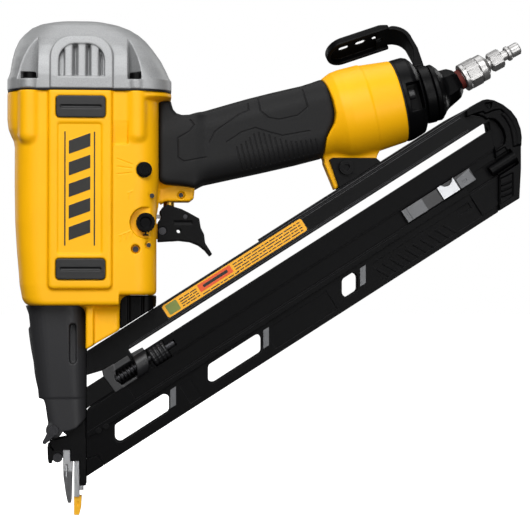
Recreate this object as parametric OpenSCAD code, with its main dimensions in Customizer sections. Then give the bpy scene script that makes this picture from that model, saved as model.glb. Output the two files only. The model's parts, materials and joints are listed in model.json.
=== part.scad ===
// Angled pneumatic finish nailer.
// Origin: middle of the contact tip's bottom face. +Z runs up the drive direction, +X towards the
// handle and magazine, and the tool is about symmetric across Y = 0. Millimetres.

/* [Housing] */
// Height of the joint between the housing and the top cap
joint_z = 248; // [246:0.5:250]
// Half the width of the barrel
barrel_half_w = 34; // [33:0.5:36]
// Half the width across the raised side panels
panel_half_w = 37; // [36.5:0.5:38]
// Half the width of the flange under the top cap
flange_half_w = 36; // [35:0.5:37]
// Wall of the rubber handle grip
grip_wall = 3.6; // [3:0.2:4]

/* [Drive] */
// Place of the drive axis along X
drive_x = -3.2; // [-3.4:0.1:-3]
// Bore radius of the cylinder sleeve
bore_r = 22; // [21:0.5:22.5]
// Wall of the cylinder sleeve
sleeve_wall = 2.6; // [2:0.2:2.8]
// Travel of the piston
piston_stroke = 92; // [88:1:92]
// Thickness of the driver blade
blade_t = 2; // [1.6:0.1:2.2]
// Width of the driver blade
blade_w = 3.2; // [2.8:0.1:3.4]

/* [Handle] */
// Angle of the handle above horizontal
handle_angle = 14; // [13.5:0.5:14.5]
// Height of the grip across the hand
grip_h = 44.8; // [44:0.2:45.4]
// Width of the grip
grip_w = 38; // [36:0.5:39]
// Radius of the flared handle end
bell_r = 26.4; // [26:0.2:27]

/* [Magazine] */
// Angle of the magazine above horizontal
mag_angle = 32.5; // [32:0.5:33]
// Half the width of the magazine side plates
plate_half_w = 10; // [9.5:0.5:10.5]
// Half the width of the slot that the nails run in
nail_slot_half_w = 2.2; // [1.8:0.1:2.4]

/* [Air plug] */
// Radius of the plug's nose
plug_r = 3.9; // [3.8:0.05:4]
// Angle of the air inlet above horizontal
inlet_angle = 28.8; // [28:0.2:30]

/* [Travel and play] */
// Radial play between sliding and turning parts
play = 0.06; // [0.05:0.01:0.08]
// Gap kept round parts that move near others
gap = 0.4; // [0.3:0.05:0.5]

/* [Hidden] */
$fn = 64;
eps = 0.01;
big = 400;

YELLOW = "#FDBE12";
CAST = "#B2B2B2";
BLACK = "#242424";
RUBBER = "#303030";
STEEL = "#B8BABC";
GREY = "#7C7C7C";
BRASS = "#B58E3C";
SEAL_RED = "#7A3028";

// The handle's own frame: u along the handle from its middle, w across it.
handle_x = 105.3;
handle_z = 225.2;
cap_centre_x = 4.1;
boss_spread = 30;
boss_x = [cap_centre_x - boss_spread, cap_centre_x + boss_spread];
bell_end = 89.5;
collar_start = 104;
collar_end = 111;
fitting_at = [230.6, 0, 260.5];

// Heights inside the barrel.
floor_z = 124;
bumper_top = 142;
sleeve_r = bore_r + sleeve_wall;
sleeve_top = joint_z - 2;
piston_h = 10;
piston_z = bumper_top + piston_stroke;
blade_tip_z = 100;
chamber_r = sleeve_r + 2.4;

// Heights of the magazine's parts above its own baseline.
mag_bottom = 16.3;
cover_top = 35.2;
plate_bottom = 35.2;
plate_top = 60.4;
rail_bottom = 66;
rail_top = 78.4;
rail_top_rear = 79.8;
rail_half_w = 9;
cover_half_w = 8.4;
front_x = 6;
pusher_low = 39.8;
pusher_high = 48.4;

trigger_at = [50.5, 168];
lever_at = [64, 176.6];
valve_x = 54.3;
knob_at = [40.4, 171.9];
button_at = [39.6, 202.4];
ring_r = 4.5;
button_way_r = 3.3;
latch_at = [-11, 34.5];
bail_at = [-12.8, 51];
bolt_at = [159.8, 206];

// ---------------------------------------------------------------- helpers

// An outline with each corner rounded to radius r.
function softened(p, r) = [for (i = [0:len(p) - 1])
  each soft_corner(p[(i + len(p) - 1) % len(p)], p[i], p[(i + 1) % len(p)], r)];
function soft_corner(before, at, after, r) =
  let(
    a = (before - at) / norm(before - at),
    b = (after - at) / norm(after - at),
    half = acos(a * b) / 2,
    centre = at + (a + b) / norm(a + b) * r / sin(half),
    from = at + a * r / tan(half) - centre,
    to = at + b * r / tan(half) - centre,
    span = 180 - 2 * half
  ) [for (i = [0:6]) centre + (from * sin(span * (1 - i / 6)) + to * sin(span * i / 6)) / sin(span)];

function arc(centre, r, from, to, n = 8) =
  [for (i = [0:n]) centre + r * [cos(from + (to - from) * i / n), sin(from + (to - from) * i / n)]];

// A prism of a side outline, given as [x, z] points and centred on Y = 0.
module side(points, w) {
  rotate([90, 0, 0]) linear_extrude(w, center = true) polygon(points);
}

// The same between two values of Y.
module side_between(points, y0, y1) {
  translate([0, (y0 + y1) / 2, 0]) side(points, y1 - y0);
}

module box(x0, x1, y0, y1, z0, z1) {
  translate([x0, y0, z0]) cube([x1 - x0, y1 - y0, z1 - z0]);
}

module round_rect(x0, x1, y0, y1, r) {
  translate([x0 + r, y0]) square([x1 - x0 - 2 * r, y1 - y0]);
  translate([x0, y0 + r]) square([x1 - x0, y1 - y0 - 2 * r]);
  for (x = [x0 + r, x1 - r], y = [y0 + r, y1 - r]) translate([x, y]) circle(r);
}

module round_block(x0, x1, half_w, r, z0, z1) {
  translate([0, 0, z0]) linear_extrude(z1 - z0) round_rect(x0, x1, -half_w, half_w, r);
}

// A rounded plate seen from the side, between two values of Y.
module side_plate(x0, x1, z0, z1, r, y0, y1) {
  translate([0, y1, 0]) rotate([90, 0, 0]) linear_extrude(y1 - y0) round_rect(x0, x1, z0, z1, r);
}

// A round bar along Y.
module y_rod(at, r, y0, y1) {
  translate([at[0], y1, at[1]]) rotate([90, 0, 0]) cylinder(h = y1 - y0, r = r);
}

module x_rod(r, x0, x1) {
  translate([x0, 0, 0]) rotate([0, 90, 0]) cylinder(h = x1 - x0, r = r);
}

module ring(r_out, r_in, z0, z1) {
  translate([0, 0, z0]) difference() {
    cylinder(h = z1 - z0, r = r_out);
    translate([0, 0, -1]) cylinder(h = z1 - z0 + 2, r = r_in);
  }
}

module seal_ring(r, section_r) {
  rotate_extrude() translate([r, 0]) circle(section_r, $fn = 24);
}

module hex_prism(across, h) {
  cylinder(h = h, d = across / cos(30), $fn = 6);
}

module on_drive_axis() { translate([drive_x, 0, 0]) children(); }
module in_handle() { translate([handle_x, 0, handle_z]) rotate([0, -handle_angle, 0]) children(); }
module in_world_from_handle() {
  rotate([0, handle_angle, 0]) translate([-handle_x, 0, -handle_z]) children();
}
module in_magazine() { rotate([0, -mag_angle, 0]) children(); }
module at_inlet() { translate(fitting_at) rotate([0, -inlet_angle, 0]) children(); }
module both_sides() { children(); mirror([0, 1, 0]) children(); }

// Height in the world of a magazine line t at place x, and of the rail's top.
function mag_z(x, t) = (t + x * sin(mag_angle)) / cos(mag_angle);
function rail_z(x) = mag_z(x, rail_top_rear);

// Everything in front of the magazine's front face.
module in_front() { box(-big, front_x, -big, big, -big, big); }

// ---------------------------------------------------------------- barrel, handle and cap

// Side outline of the barrel, from the lower front up to the joint and back down the rear.
barrel_outline = concat(
  [[-29, floor_z], [-31, 128], [-32.5, 136], [-33.2, 145], [-34.2, 156], [-35.2, 172], [-35.6, 193]],
  [[-35.6, 217]],
  [[-36, 219], [-38, 222.5], [-39.5, 226.5], [-40, 230], [-40, joint_z]],
  [[55.5, joint_z], [55.5, 245], [48, 244], [48, 197]],
  [[46.8, 184], [46.8, 130], [25.5, 130], [25.5, 110], [25, 109.5], [front_x, 98.6], [front_x, floor_z]]
);

// The barrel's rear lug that carries the trigger valve.
lug_outline = concat(
  [[40, 199], [40, 176], [46.8, 179.5]],
  arc([52, 180.3], 5.2, 180, 90, 6),
  [[66.5, 185.5], [69, 187.5], [69.5, 192], [69.5, 200], [40, 214]]
);

module barrel_solid() {
  intersection() {
    side(barrel_outline, 2 * panel_half_w + 10);
    union() {
      round_block(-36, 47, barrel_half_w, 15, floor_z, 222);
      round_block(-40, 56, flange_half_w, 17, 222, joint_z);
      round_block(-15.4, 21.1, panel_half_w, 2, 134, joint_z);
      for (x = boss_x, y = [-boss_spread, boss_spread]) translate([x, y, 219]) cylinder(h = 40, r = 6.3);
      // The front wedge that reaches down to the magazine rail.
      round_block(-29, 26, 24, 8, 90, 140);
    }
  }
  side(lug_outline, 17);
  // Tongue between the trigger's cheeks.
  intersection() {
    box(40, 56, -5, 5, 160, 176);
    union() {
      y_rod(trigger_at, 4.6, -5, 5);
      box(40, trigger_at[0], -5, 5, trigger_at[1] - 4.6, trigger_at[1] + 4.6);
    }
  }
}

module handle_bar(u0, u1, inset, r) {
  translate([u0, 0, 0]) rotate([90, 0, 90]) linear_extrude(u1 - u0)
    round_rect(-grip_w / 2 + inset, grip_w / 2 - inset, -grip_h / 2 + inset, grip_h / 2 - inset, r);
}

// Outline of the flared end in the handle's frame: its front edge is a shallow S.
bell_outline = concat(
  [[bell_end, -bell_r - 1], [bell_end, bell_r + 1], [47.4, bell_r + 1], [47.4, 24]],
  [[48.2, 18], [48.8, 8], [48.4, 0], [46.6, -5], [43, -9], [40.4, -12.3], [39, -16], [37, -23], [37,
    -bell_r - 1]]
);

module bell_solid() {
  in_handle() intersection() {
    rotate([90, 0, 0]) linear_extrude(80, center = true) polygon(bell_outline);
    rotate([0, 90, 0]) rotate_extrude($fn = 96) polygon([
      [0, 30], [22.6, 30], [23, 40], [24.4, 46], [26.4, 54], [bell_r + 0.6, 62], [bell_r + 0.4, 72],
      [bell_r - 0.6, 82], [bell_r - 1.6, bell_end], [0, bell_end],
    ]);
  }
}

// The lug under the flared end that the magazine bolts to.
module bracket_lug() {
  difference() {
    side([[147, 214], [147, 209], [153.6, 193.2], [156.4, 195], [178, 209], [180, 216]], 12);
    y_rod(bolt_at, 2.6, -8, 8);
  }
}

module badge_recess(grow) {
  both_sides() side_plate(-9.7 - grow, 14.9 + grow, 154 - grow, 228 + grow, 2, -panel_half_w - 1,
    1.1 - panel_half_w);
}

module trigger_pocket() {
  difference() {
    union() {
      box(42.6, 48, -8.4, 8.4, 158, 185.4);
      // Way up for the trip rod on the far side.
      box(41.4, 48, 8.3, 13.2, 96, 185.4);
    }
    box(40, 56, -5, 5, 160, trigger_at[1] + 4.6);
  }
}

module housing() {
  color(YELLOW) difference() {
    union() {
      barrel_solid();
      in_handle() handle_bar(-62, 60, grip_wall, 13);
      bell_solid();
      bracket_lug();
    }
    // Barrel chambers, sleeve seat, bumper seat and blade way.
    on_drive_axis() {
      translate([0, 0, 146]) cylinder(h = 200, r = chamber_r);
      translate([0, 0, floor_z + 4]) cylinder(h = 40, r = sleeve_r);
      translate([0, 0, floor_z - 1]) cylinder(h = 10, r = 6);
    }
    // Air way in the handle.
    in_handle() {
      x_rod(12.6, -86, 70);
      x_rod(20, 58, bell_end + 1);
    }
    // Nose block and shroud spigot below the floor.
    box(-16, front_x + eps, -11, 11, 80, floor_z);
    intersection() {
      in_magazine() box(0, 200, -rail_half_w - gap, rail_half_w + gap, 0, rail_top + 0.2);
      box(-big, 40, -big, big, 0, 140);
    }
    // Way for the trip link beside the rail.
    intersection() {
      in_magazine() box(30, 110, 8, trip_y1 + gap, 0, 84);
      box(-big, 41.5, -big, big, 0, 128);
    }
    badge_recess(0);
    side_pad_seats();
    trigger_pocket();
    y_rod(trigger_at, 2.2, -6, 6);
    // Trigger valve bore.
    translate([valve_x, 0, 184]) cylinder(h = 40, r = 5.2);
    translate([valve_x, 0, 180]) cylinder(h = 8, r = 3.3);
    // Selector recess and bore.
    y_rod(knob_at, 9, -60, -barrel_half_w + 4.5);
    y_rod(knob_at, 3 + play, -40, -20);
    // Blow-off button bore.
    y_rod(button_at, ring_r, -60, -barrel_half_w + 1.4);
    y_rod(button_at, button_way_r, -60, -24);
    // Three engraved lines that fan out beside it.
    for (a = [-20, -6, 6]) translate([button_at[0] + 2, 0, button_at[1]]) rotate([0, -a, 0])
      box(-18.4, -9.6, -barrel_half_w - 1, -barrel_half_w + 0.5, -0.3, 0.3);
    pin_holes();
    // Cap screw holes.
    for (x = boss_x, y = [-boss_spread, boss_spread]) translate([x, y, 226]) cylinder(h = 40, r = 2.5);
    // End cap screw holes.
    in_handle() end_cap_screw_places() x_rod(1.6, bell_end - 12, bell_end + 1);
    // Recess ramp beside the rear boss column.
    both_sides() side_between([[24, 219], [28.4, 219], [28.4, 230], [26, 230]], -flange_half_w - 5,
      -flange_half_w + 1.2);
    // Shallow relief lines at the rear edge of the barrel.
    both_sides() side_plate(24.2, 25, 132, 160, 0.39, -barrel_half_w - 1, -barrel_half_w + 0.7);
  }
}

pins = [[44.1, 187.6, 1.3], [61.4, 189.2, 1.3], [42.2, 159, 1.3], [34.6, 156.6, 1.7]];
module pin_holes() { for (p = pins) y_rod([p[0], p[1]], p[2], -40, 40); }
module housing_pins() {
  color(GREY) both_sides() for (p = pins) difference() {
    y_rod([p[0], p[1]], p[2], -pin_half(p), -pin_half(p) + 8.5);
    y_rod([p[0], p[1]], p[2] * 0.5, -40, -pin_half(p) + 0.5);
  }
}
function pin_half(p) = p[0] > 60 ? 8.7 : barrel_half_w - 2.4;

pad_heights = [[234, 246.6], [141, 153]];
module side_pad_seats() {
  both_sides() for (h = pad_heights)
    side_plate(-11.2, 17.6, h[0] - 2.3, h[1] - 1.7, 2, -panel_half_w - 1, 1.4 - panel_half_w);
}
module side_pads() {
  color(RUBBER) both_sides() for (h = pad_heights) difference() {
    side_plate(-10.9, 17.3, h[0] - 2, h[1] - 2, 2, -panel_half_w - 1.2, 1.4 - panel_half_w);
    side_plate(-8.5, 14.9, (h[0] + h[1]) / 2 - 2.8, (h[0] + h[1]) / 2 - 1.2, 0.7,
      -panel_half_w - 2, -panel_half_w - 0.5);
  }
}

// A plain plate with slanted bars between two thin lines.
module side_badges() {
  color(BLACK) both_sides() {
    difference() {
      side_plate(-9.5, 14.7, 154.2, 227.8, 1.9, -panel_half_w + 0.3, 1.1 - panel_half_w);
      for (x = [-5.6, 10.2]) side_plate(x, x + 0.7, 158, 224, 0.3, -panel_half_w, 0.6 - panel_half_w);
    }
    for (i = [0:4]) side_between([[-3.2, 162 + 12.4 * i], [8.2, 166 + 12.4 * i], [8.2, 174 + 12.4 * i],
      [-3.2, 170 + 12.4 * i]], -panel_half_w, 0.3 - panel_half_w);
  }
}

module cap_gasket() {
  color(BLACK) translate([0, 0, joint_z]) linear_extrude(1) difference() {
    gasket_outline(0.3);
    translate([drive_x, 0]) circle(chamber_r + 1);
    for (x = boss_x, y = [-boss_spread, boss_spread]) translate([x, y]) circle(2.5);
  }
}
module gasket_outline(inset) {
  intersection() {
    round_rect(-40 + inset, 55.5 - inset, -flange_half_w + inset, flange_half_w - inset, 17);
    square([300, 300], center = true);
  }
  translate([-15.4 + inset, -panel_half_w + inset]) square([36.5 - 2 * inset, 2 * panel_half_w - 2 * inset]);
}

// Side outline of the cap, front rim to rear rim over the top.
cap_outline = concat(
  [[-40, joint_z + 1], [-40, 256], [-39, 258], [-38.4, 261], [-37.5, 268], [-36.3, 274], [-34.8, 280]],
  [[-33, 284.5], [-30, 288], [-25.5, 290], [-19, 291.4], [-8, 292.4], [6, 292.8], [18, 291.6]],
  [[26, 289.6], [32, 287.2], [36.5, 284.4], [40.6, 280.4], [44.4, 275.6], [49.6, 268.2], [52.4, 262],
    [54.4, 257]],
  [[55.5, 255], [55.5, joint_z + 1]]
);
// Front outline of the cap as [y, z].
cap_front = concat(
  [[-panel_half_w, joint_z + 1], [-panel_half_w, 256], [-36.2, 262]],
  [[-35, 274], [-33.2, 281], [-29, 287.6], [-22, 291.4], [-12, 292.9]],
  [[12, 292.9], [22, 291.4], [29, 287.6], [33.2, 281], [35, 274]],
  [[36.2, 262], [panel_half_w, 256], [panel_half_w, joint_z + 1]]
);
vent_x0 = -9.7;
vent_x1 = 16.3;
screw_seat_z = 254.4;
screw_head = 3.6;
vent_z0 = 255.8;
vent_z1 = 273.9;
module vent_window(grow, y0, y1) {
  side_between(concat([[vent_x0 - grow, vent_z0 - grow], [vent_x1 + grow, vent_z0 - grow]],
    [[vent_x1 + grow, vent_z1 - 6]], arc([(vent_x0 + vent_x1) / 2, vent_z1 - 18], 18 + grow, 45, 135, 8),
    [[vent_x0 - grow, vent_z1 - 6]]), y0, y1);
}
module top_cap() {
  color(CAST) difference() {
    union() {
      difference() {
        intersection() {
          side(cap_outline, 90);
          rotate([90, 0, 90]) linear_extrude(220, center = true) polygon(cap_front);
          union() {
            round_block(-40, 55.5, flange_half_w, 17, joint_z, 300);
            round_block(-16, 21.7, panel_half_w + 1, 2, joint_z, 300);
          }
        }
        // Scalloped pockets over the four screws.
        for (x = boss_x, y = [-1, 1]) translate([x, y * boss_spread, screw_seat_z]) {
          cylinder(h = 31.6, r1 = 6.4, r2 = 5.2);
          translate([x < 0 ? -14 : 0, y < 0 ? -14 : 0, 0]) cube([14, 14, 30.6]);
        }
      }
      // Frames round the side vents.
      both_sides() intersection() {
        vent_window(4.6, -panel_half_w - 0.5, -30);
        rotate([90, 0, 90]) linear_extrude(220, center = true)
          polygon([[-38.2, 240], [-38.2, 258], [-36.2, 284], [-28, 284], [-28, 240]]);
      }
    }
    both_sides() vent_window(0, -60, -32);
    // Room for the head valve, and the way out to the vents.
    on_drive_axis() translate([0, 0, joint_z]) cylinder(h = cap_ceiling - joint_z, r = 28);
    both_sides() side_plate(vent_x0 + 1, vent_x1 - 1, 257, 271, 3, -40, -20);
    for (x = boss_x, y = [-boss_spread, boss_spread]) translate([x, y, joint_z]) cylinder(h = 20, r = 2.7);
  }
  color(CAST) both_sides() for (x = [-5.2, 2.2, 9.6]) side_plate(x, x + 3.2, vent_z0 - 1, vent_z1 - 2,
    0.5, -36.4, -33);
}

module exhaust_baffle() {
  color(BLACK) on_drive_axis() ring(28, 26.4, 250, 274);
}

module cap_screws() {
  color(BLACK) for (x = boss_x, y = [-boss_spread, boss_spread]) translate([x, y, 0]) difference() {
    union() {
      translate([0, 0, 228]) cylinder(h = screw_seat_z - 228, r = 2.5);
      translate([0, 0, screw_seat_z]) cylinder(h = screw_head, r = 4);
    }
    translate([0, 0, screw_seat_z + 1.4]) hex_prism(screw_head, 4);
  }
}

module cylinder_sleeve() {
  color(STEEL) on_drive_axis() difference() {
    union() {
      translate([0, 0, floor_z + 4]) cylinder(h = sleeve_top - floor_z - 4, r = sleeve_r);
      translate([0, 0, 190]) cylinder(h = 7, r = chamber_r);
    }
    translate([0, 0, floor_z]) cylinder(h = 200, r = bore_r + play);
    ring(chamber_r + 1, chamber_r - 2.6, 192.2, 194.8);
    ring(sleeve_r + 1, sleeve_r - 2.1, 132.9, 135.1);
    for (a = [0:45:359]) rotate(a) translate([0, 0, 178]) rotate([0, 90, 0]) cylinder(h = 40, r = 1.5,
      $fn = 24);
  }
}
module cylinder_seals() {
  color(BLACK) on_drive_axis() {
    translate([0, 0, 193.5]) seal_ring(chamber_r - 1.25, 1.2);
    translate([0, 0, 134]) seal_ring(sleeve_r - 1.05, 1);
  }
}
module driver_bumper() {
  color(RUBBER) on_drive_axis() difference() {
    union() {
      translate([0, 0, floor_z + 4]) cylinder(h = 6, r = bore_r);
      translate([0, 0, floor_z + 10]) cylinder(h = bumper_top - floor_z - 10 - gap, r1 = bore_r - 1,
        r2 = bore_r - 5);
    }
    translate([0, 0, floor_z]) cylinder(h = 40, r = 5);
  }
}

module piston() {
  color(STEEL) on_drive_axis() difference() {
    union() {
      translate([0, 0, piston_z]) cylinder(h = piston_h, r = bore_r - play);
      translate([0, 0, piston_z - 6]) cylinder(h = 7, r = 4.4);
    }
    translate([0, 0, piston_z + 5]) ring(bore_r + 1, bore_r - 2.2, -1.4, 1.4);
    translate([0, 0, piston_z + 7]) cylinder(h = 10, r = 14);
    box(-blade_t / 2, blade_t / 2, -blade_w / 2, blade_w / 2, piston_z - 7, piston_z + 4);
  }
}
module piston_ring() {
  color(BLACK) on_drive_axis() ring(bore_r - play, bore_r - 2.2, piston_z + 3.6, piston_z + 6.4);
}
module driver_blade() {
  color(STEEL) on_drive_axis()
    box(-blade_t / 2, blade_t / 2, -blade_w / 2, blade_w / 2, blade_tip_z, piston_z + 4);
}

valve_top = sleeve_top + 8;
cap_ceiling = joint_z + 35;
spring_wire = 0.9;
spring_turns = 6;
module head_valve() {
  color(BLACK) on_drive_axis() difference() {
    union() {
      ring(26, 12, sleeve_top + gap, valve_top);
      ring(20, 12, valve_top, valve_top + 8);
    }
    ring(30, 24.6, sleeve_top + 3, sleeve_top + 5.4);
  }
}
module head_valve_spring() {
  color(STEEL) on_drive_axis() for (i = [0:spring_turns - 1])
    translate([0, 0, valve_top + spring_wire + i * (cap_ceiling - valve_top - 2 * spring_wire)
      / (spring_turns - 1)])
      seal_ring(22.6, spring_wire);
}

// Side outline of the rubber grip, front lower corner first.
grip_outline = concat(
  [[48, 245], [48, 199]], arc([52, 198.6], 3.6, 180, 270, 5),
  [[62, 194.6], [69.5, 193.2], [75, 195.6], [90, 198.8], [110, 203], [130, 207.5], [146.5, 212]],
  [[146.8, 219], [147.6, 223], [149.2, 227], [151.1, 230.6], [152.4, 235], [152.8, 239], [151.9, 243.2],
    [150, 250]],
  [[147.8, 255.6], [145.3, 259.9], [143, 259.3], [139, 257.4], [133, 255.2], [115, 251], [100, 247]],
  [[80, 240.8], [66, 236.4], [61.6, 236.2], [58.6, 237.2], [56.6, 239.4], [55.5, 243], [55.5, 245]]
);
module grip_shell(grow) {
  intersection() {
    side(grip_outline, grip_w);
    union() {
      in_handle() handle_bar(-60, 52, -grow, 15);
      // The part against the barrel has its own upright rounding.
      intersection() {
        round_block(40, 75, grip_w / 2, 6, 190, 250);
        box(40, 68, -40, 40, 190, 250);
      }
    }
  }
}
module handle_grip() {
  color(RUBBER) difference() {
    grip_shell(1.4);
    in_handle() handle_bar(-90, 80, grip_wall, 13);
    side(lug_outline, 17);
    bell_solid();
    box(0, 56, -60, 60, 244, 260);
    // Fine ribs on both sides of the hand grip.
    both_sides() in_handle() intersection() {
      for (i = [0:16]) box(-11 + 2.9 * i, -9.6 + 2.9 * i, -grip_w, -grip_w / 2 + 0.5, -20,
        4 - 2 * sin(i * 24));
      box(-14, 40, -grip_w, 0, -17, 6);
    }
    translate([valve_x, 0, 184]) cylinder(h = 40, r = 5.2);
  }
}

// ---------------------------------------------------------------- handle end

module end_cap_screw_places() {
  for (a = [45:90:359]) rotate([a, 0, 0]) translate([0, 0, 21.4]) children();
}
module end_cap_gasket() {
  color(BLACK) in_handle() difference() {
    x_rod(bell_r - 1.8, bell_end, bell_end + 0.8);
    x_rod(18, bell_end - 1, bell_end + 2);
    end_cap_screw_places() x_rod(1.6, bell_end - 1, bell_end + 2);
  }
}
module end_cap() {
  color(BLACK) in_handle() difference() {
    rotate([0, 90, 0]) rotate_extrude($fn = 96) polygon([
      [0, bell_end + 0.8], [bell_r - 1.6, bell_end + 0.8], [bell_r - 1.4, 94], [25.2, 97.5], [24.2, 99.5],
      [22.4, 101.2], [19.6, 102.8], [17, collar_start], [15.4, collar_start], [15.4, collar_end], [0,
        collar_end],
    ]);
    // Four pockets with the screws at their bottoms.
    for (a = [45:90:359]) rotate([a, 0, 0]) {
      translate([0, 0, 21.4]) x_rod(3.6, 95, 120);
      translate([95, -3.6, 21.4]) cube([20, 7.2, 10]);
    }
    // Side windows behind the collar.
    for (a = [0, 180]) rotate([a, 0, 0]) translate([98.5, -30, -9]) cube([3.6, 12, 18]);
    end_cap_screw_places() x_rod(1.6, bell_end, 120);
    x_rod(9, bell_end, 120);
    // Flat where it clears the magazine rail.
    in_world_from_handle() in_magazine() box(200, 360, -40, 40, 40, rail_top_rear + gap);
  }
}
module end_cap_screws() {
  color(STEEL) in_handle() end_cap_screw_places() difference() {
    union() {
      x_rod(1.6, bell_end - 10, 95);
      x_rod(3.1, 95, 97.4);
    }
    translate([96.2, 0, 0]) rotate([0, 90, 0]) hex_prism(2.6, 4);
  }
}
// The turned root of the inlet in the handle's frame, and the angled tapering boss.
module inlet_boss() {
  color(BLACK) difference() {
    union() {
      in_handle() rotate([0, 90, 0]) rotate_extrude() polygon([
        [0, collar_end], [15.4, collar_end], [17.2, collar_end + 0.2], [17.2, collar_end + 2.6],
        [14.6, 116.5], [12, 120], [0, 120],
      ]);
      at_inlet() translate([-16, 0, 0]) rotate([0, 90, 0]) cylinder(h = 14, r1 = 13.4, r2 = 8.8);
    }
    at_inlet() x_rod(5.2, -18, 10);
    in_handle() x_rod(6, collar_end - 5, 117);
  }
}
module thread_seal() {
  color(SEAL_RED) at_inlet() difference() {
    x_rod(6.2, -2, 1.2);
    x_rod(5.1, -3, 3);
  }
}
module air_plug() {
  color(STEEL) at_inlet() difference() {
    union() {
      x_rod(5, -10, 3);
      x_rod(8.6, 1.6, 4.2);
      translate([4.2, 0, 0]) rotate([0, 90, 0]) hex_prism(15, 8.4);
      x_rod(8.2, 12.6, 16.6);
      translate([16.6, 0, 0]) rotate([0, 90, 0]) cylinder(h = 2.6, r1 = 8.2, r2 = 4.2);
      x_rod(3.3, 19, 24);
      translate([21, 0, 0]) rotate([0, 90, 0]) hex_prism(10.6, 7.6);
      x_rod(3.1, 28, 33);
      x_rod(4.6, 32.4, 34.6);
      x_rod(plug_r, 34.6, 41.2);
    }
    x_rod(2.4, -12, 44);
  }
}

// Belt hook: a collar, a strap that rises and bends forward, and a padded end. It leans to the far side.
hook_lean = 30;
hook_ring_r = 17.6;
strap_outline = concat(
  [[collar_start + 0.6, hook_ring_r - 1], [111, hook_ring_r - 1], [111.4, 30]],
  arc([97, 38], 13.2, 0, 83, 7),
  [[66, 46.4], [66, 43.8], [96, 48.2]],
  arc([97, 38], 10.2, 83, 0, 7),
  [[108.2, 30]]
);
module belt_hook() {
  color(BLACK) in_handle() rotate([-hook_lean, 0, 0]) {
    difference() {
      union() {
        x_rod(hook_ring_r, collar_start + 0.3, collar_end - 0.3);
        side(strap_outline, 16);
        hook_pad();
      }
      x_rod(15.4 + play, collar_start - 2, collar_end + 2);
    }
  }
}
module hook_pad() {
  translate([55, 0, 42.6]) rotate([0, -6, 0]) difference() {
    union() {
      linear_extrude(5) round_rect(0, 38, -11, 11, 10.9);
      translate([20, -11, 0]) cube([17, 22, 5]);
    }
    translate([0, 0, -1]) linear_extrude(4.4) round_rect(2.4, 35, -8.6, 8.6, 8.5);
    for (i = [0:2]) translate([9 + 10.5 * i, -0.8, -1]) cube([5.4, 1.8, 8]);
  }
}

// ---------------------------------------------------------------- trigger group

module trigger_pin() { color(STEEL) y_rod(trigger_at, 2.2, -8.6, 8.6); }

// Side outline of the trigger, lower front corner first and clockwise over the top.
trigger_outline = concat(
  [[47.6, 161.6], [47.6, 173], [49.6, 176], [48.6, 179.4], [50.4, 182], [53.8, 183.8], [57.5, 182.4],
    [62, 181]],
  [[66, 179], [72.3, 175.5], [73.2, 170], [75.2, 166], [75.8, 161], [80, 154.4], [78.8, 153]],
  [[75.8, 156.6], [72, 159.6], [67, 161.6], [60, 162.4]]
);
finger_outline = [[60, 162.4], [67, 161.6], [72, 159.6], [75.8, 156.6], [78.8, 153], [80, 154.4], [75.8, 161],
  [75.2, 166], [73.2, 170], [70.6, 168.4], [72, 163.6], [66, 165.8], [55.6, 166], [55.6, 162]];
module trigger() {
  color(BLACK) difference() {
    union() {
      both_sides() side_between(trigger_outline, -8, -5.4);
      side(finger_outline, 16);
    }
    y_rod(trigger_at, 2.2 + play, -9, 9);
    y_rod(lever_at, 1.3, -9, 9);
    y_rod([60, 168], 1.2, -9, 9);
    both_sides() side_between([[57, 172], [68, 172], [68, 174], [57, 174]], -9, -7.6);
  }
}
module trigger_lever() {
  color(STEEL) difference() {
    union() {
      side([[45.6, 175.9], [lever_at[0], 175], [lever_at[0], 178.2], [45.6, 177.9]], 5);
      y_rod(lever_at, 2.6, -2.5, 2.5);
      // Tab over the trip rod.
      box(45.6, 47.2, -2.5, 11.6, 175.9, 177.9);
    }
    y_rod(lever_at, 1.3 + play, -6, 6);
  }
}
module lever_pin() { color(STEEL) y_rod(lever_at, 1.3, -8, 8); }

module valve_body() {
  color(BRASS) translate([valve_x, 0, 0]) difference() {
    union() {
      translate([0, 0, 185.5]) cylinder(h = 26, r = 5.2);
      translate([0, 0, 182.4]) cylinder(h = 4, r = 3.25);
    }
    translate([0, 0, 180]) cylinder(h = 40, r = 1.5 + play);
    for (z = [190, 198, 206]) translate([0, 0, z]) ring(6, 4.3, 0, 1.8);
  }
}
module valve_stem() {
  color(STEEL) translate([valve_x, 0, 181.2]) cylinder(h = 29, r = 1.5);
}

module selector_knob() {
  color(BLACK) difference() {
    union() {
      y_rod(knob_at, 5.6, -36.6, -29.9);
      side_between([[knob_at[0] - 2.6, knob_at[1]], [knob_at[0] - 1.6, knob_at[1] - 7.6],
        [knob_at[0] + 1.6, knob_at[1] - 7.6], [knob_at[0] + 2.6, knob_at[1]]], -36, -30.4);
      y_rod(knob_at, 3, -31, -20.5);
    }
    for (a = [0:20:359]) if (a < 240 || a > 300) translate([knob_at[0], -28, knob_at[1]]) rotate([90, a, 0])
      translate([6.1, 0, 0]) cylinder(h = 12, r = 0.75, $fn = 16);
    y_rod(knob_at, 3.2, -38, -35.8);
  }
}
module blower_ring() {
  color(BLACK) difference() {
    y_rod(button_at, ring_r, -34.6, -barrel_half_w + 1.4);
    y_rod(button_at, button_way_r, -60, -20);
  }
}
module blower_button() {
  color(BLACK) difference() {
    y_rod(button_at, button_way_r - play, -36.4, -28.4);
    for (i = [-1, 0, 1]) translate([button_at[0] + 1.6 * i, 0, button_at[1]])
      side_plate(-0.3, 0.3, -1.8, 1.8, 0.25, -38, -36);
  }
}

// ---------------------------------------------------------------- nose

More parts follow.
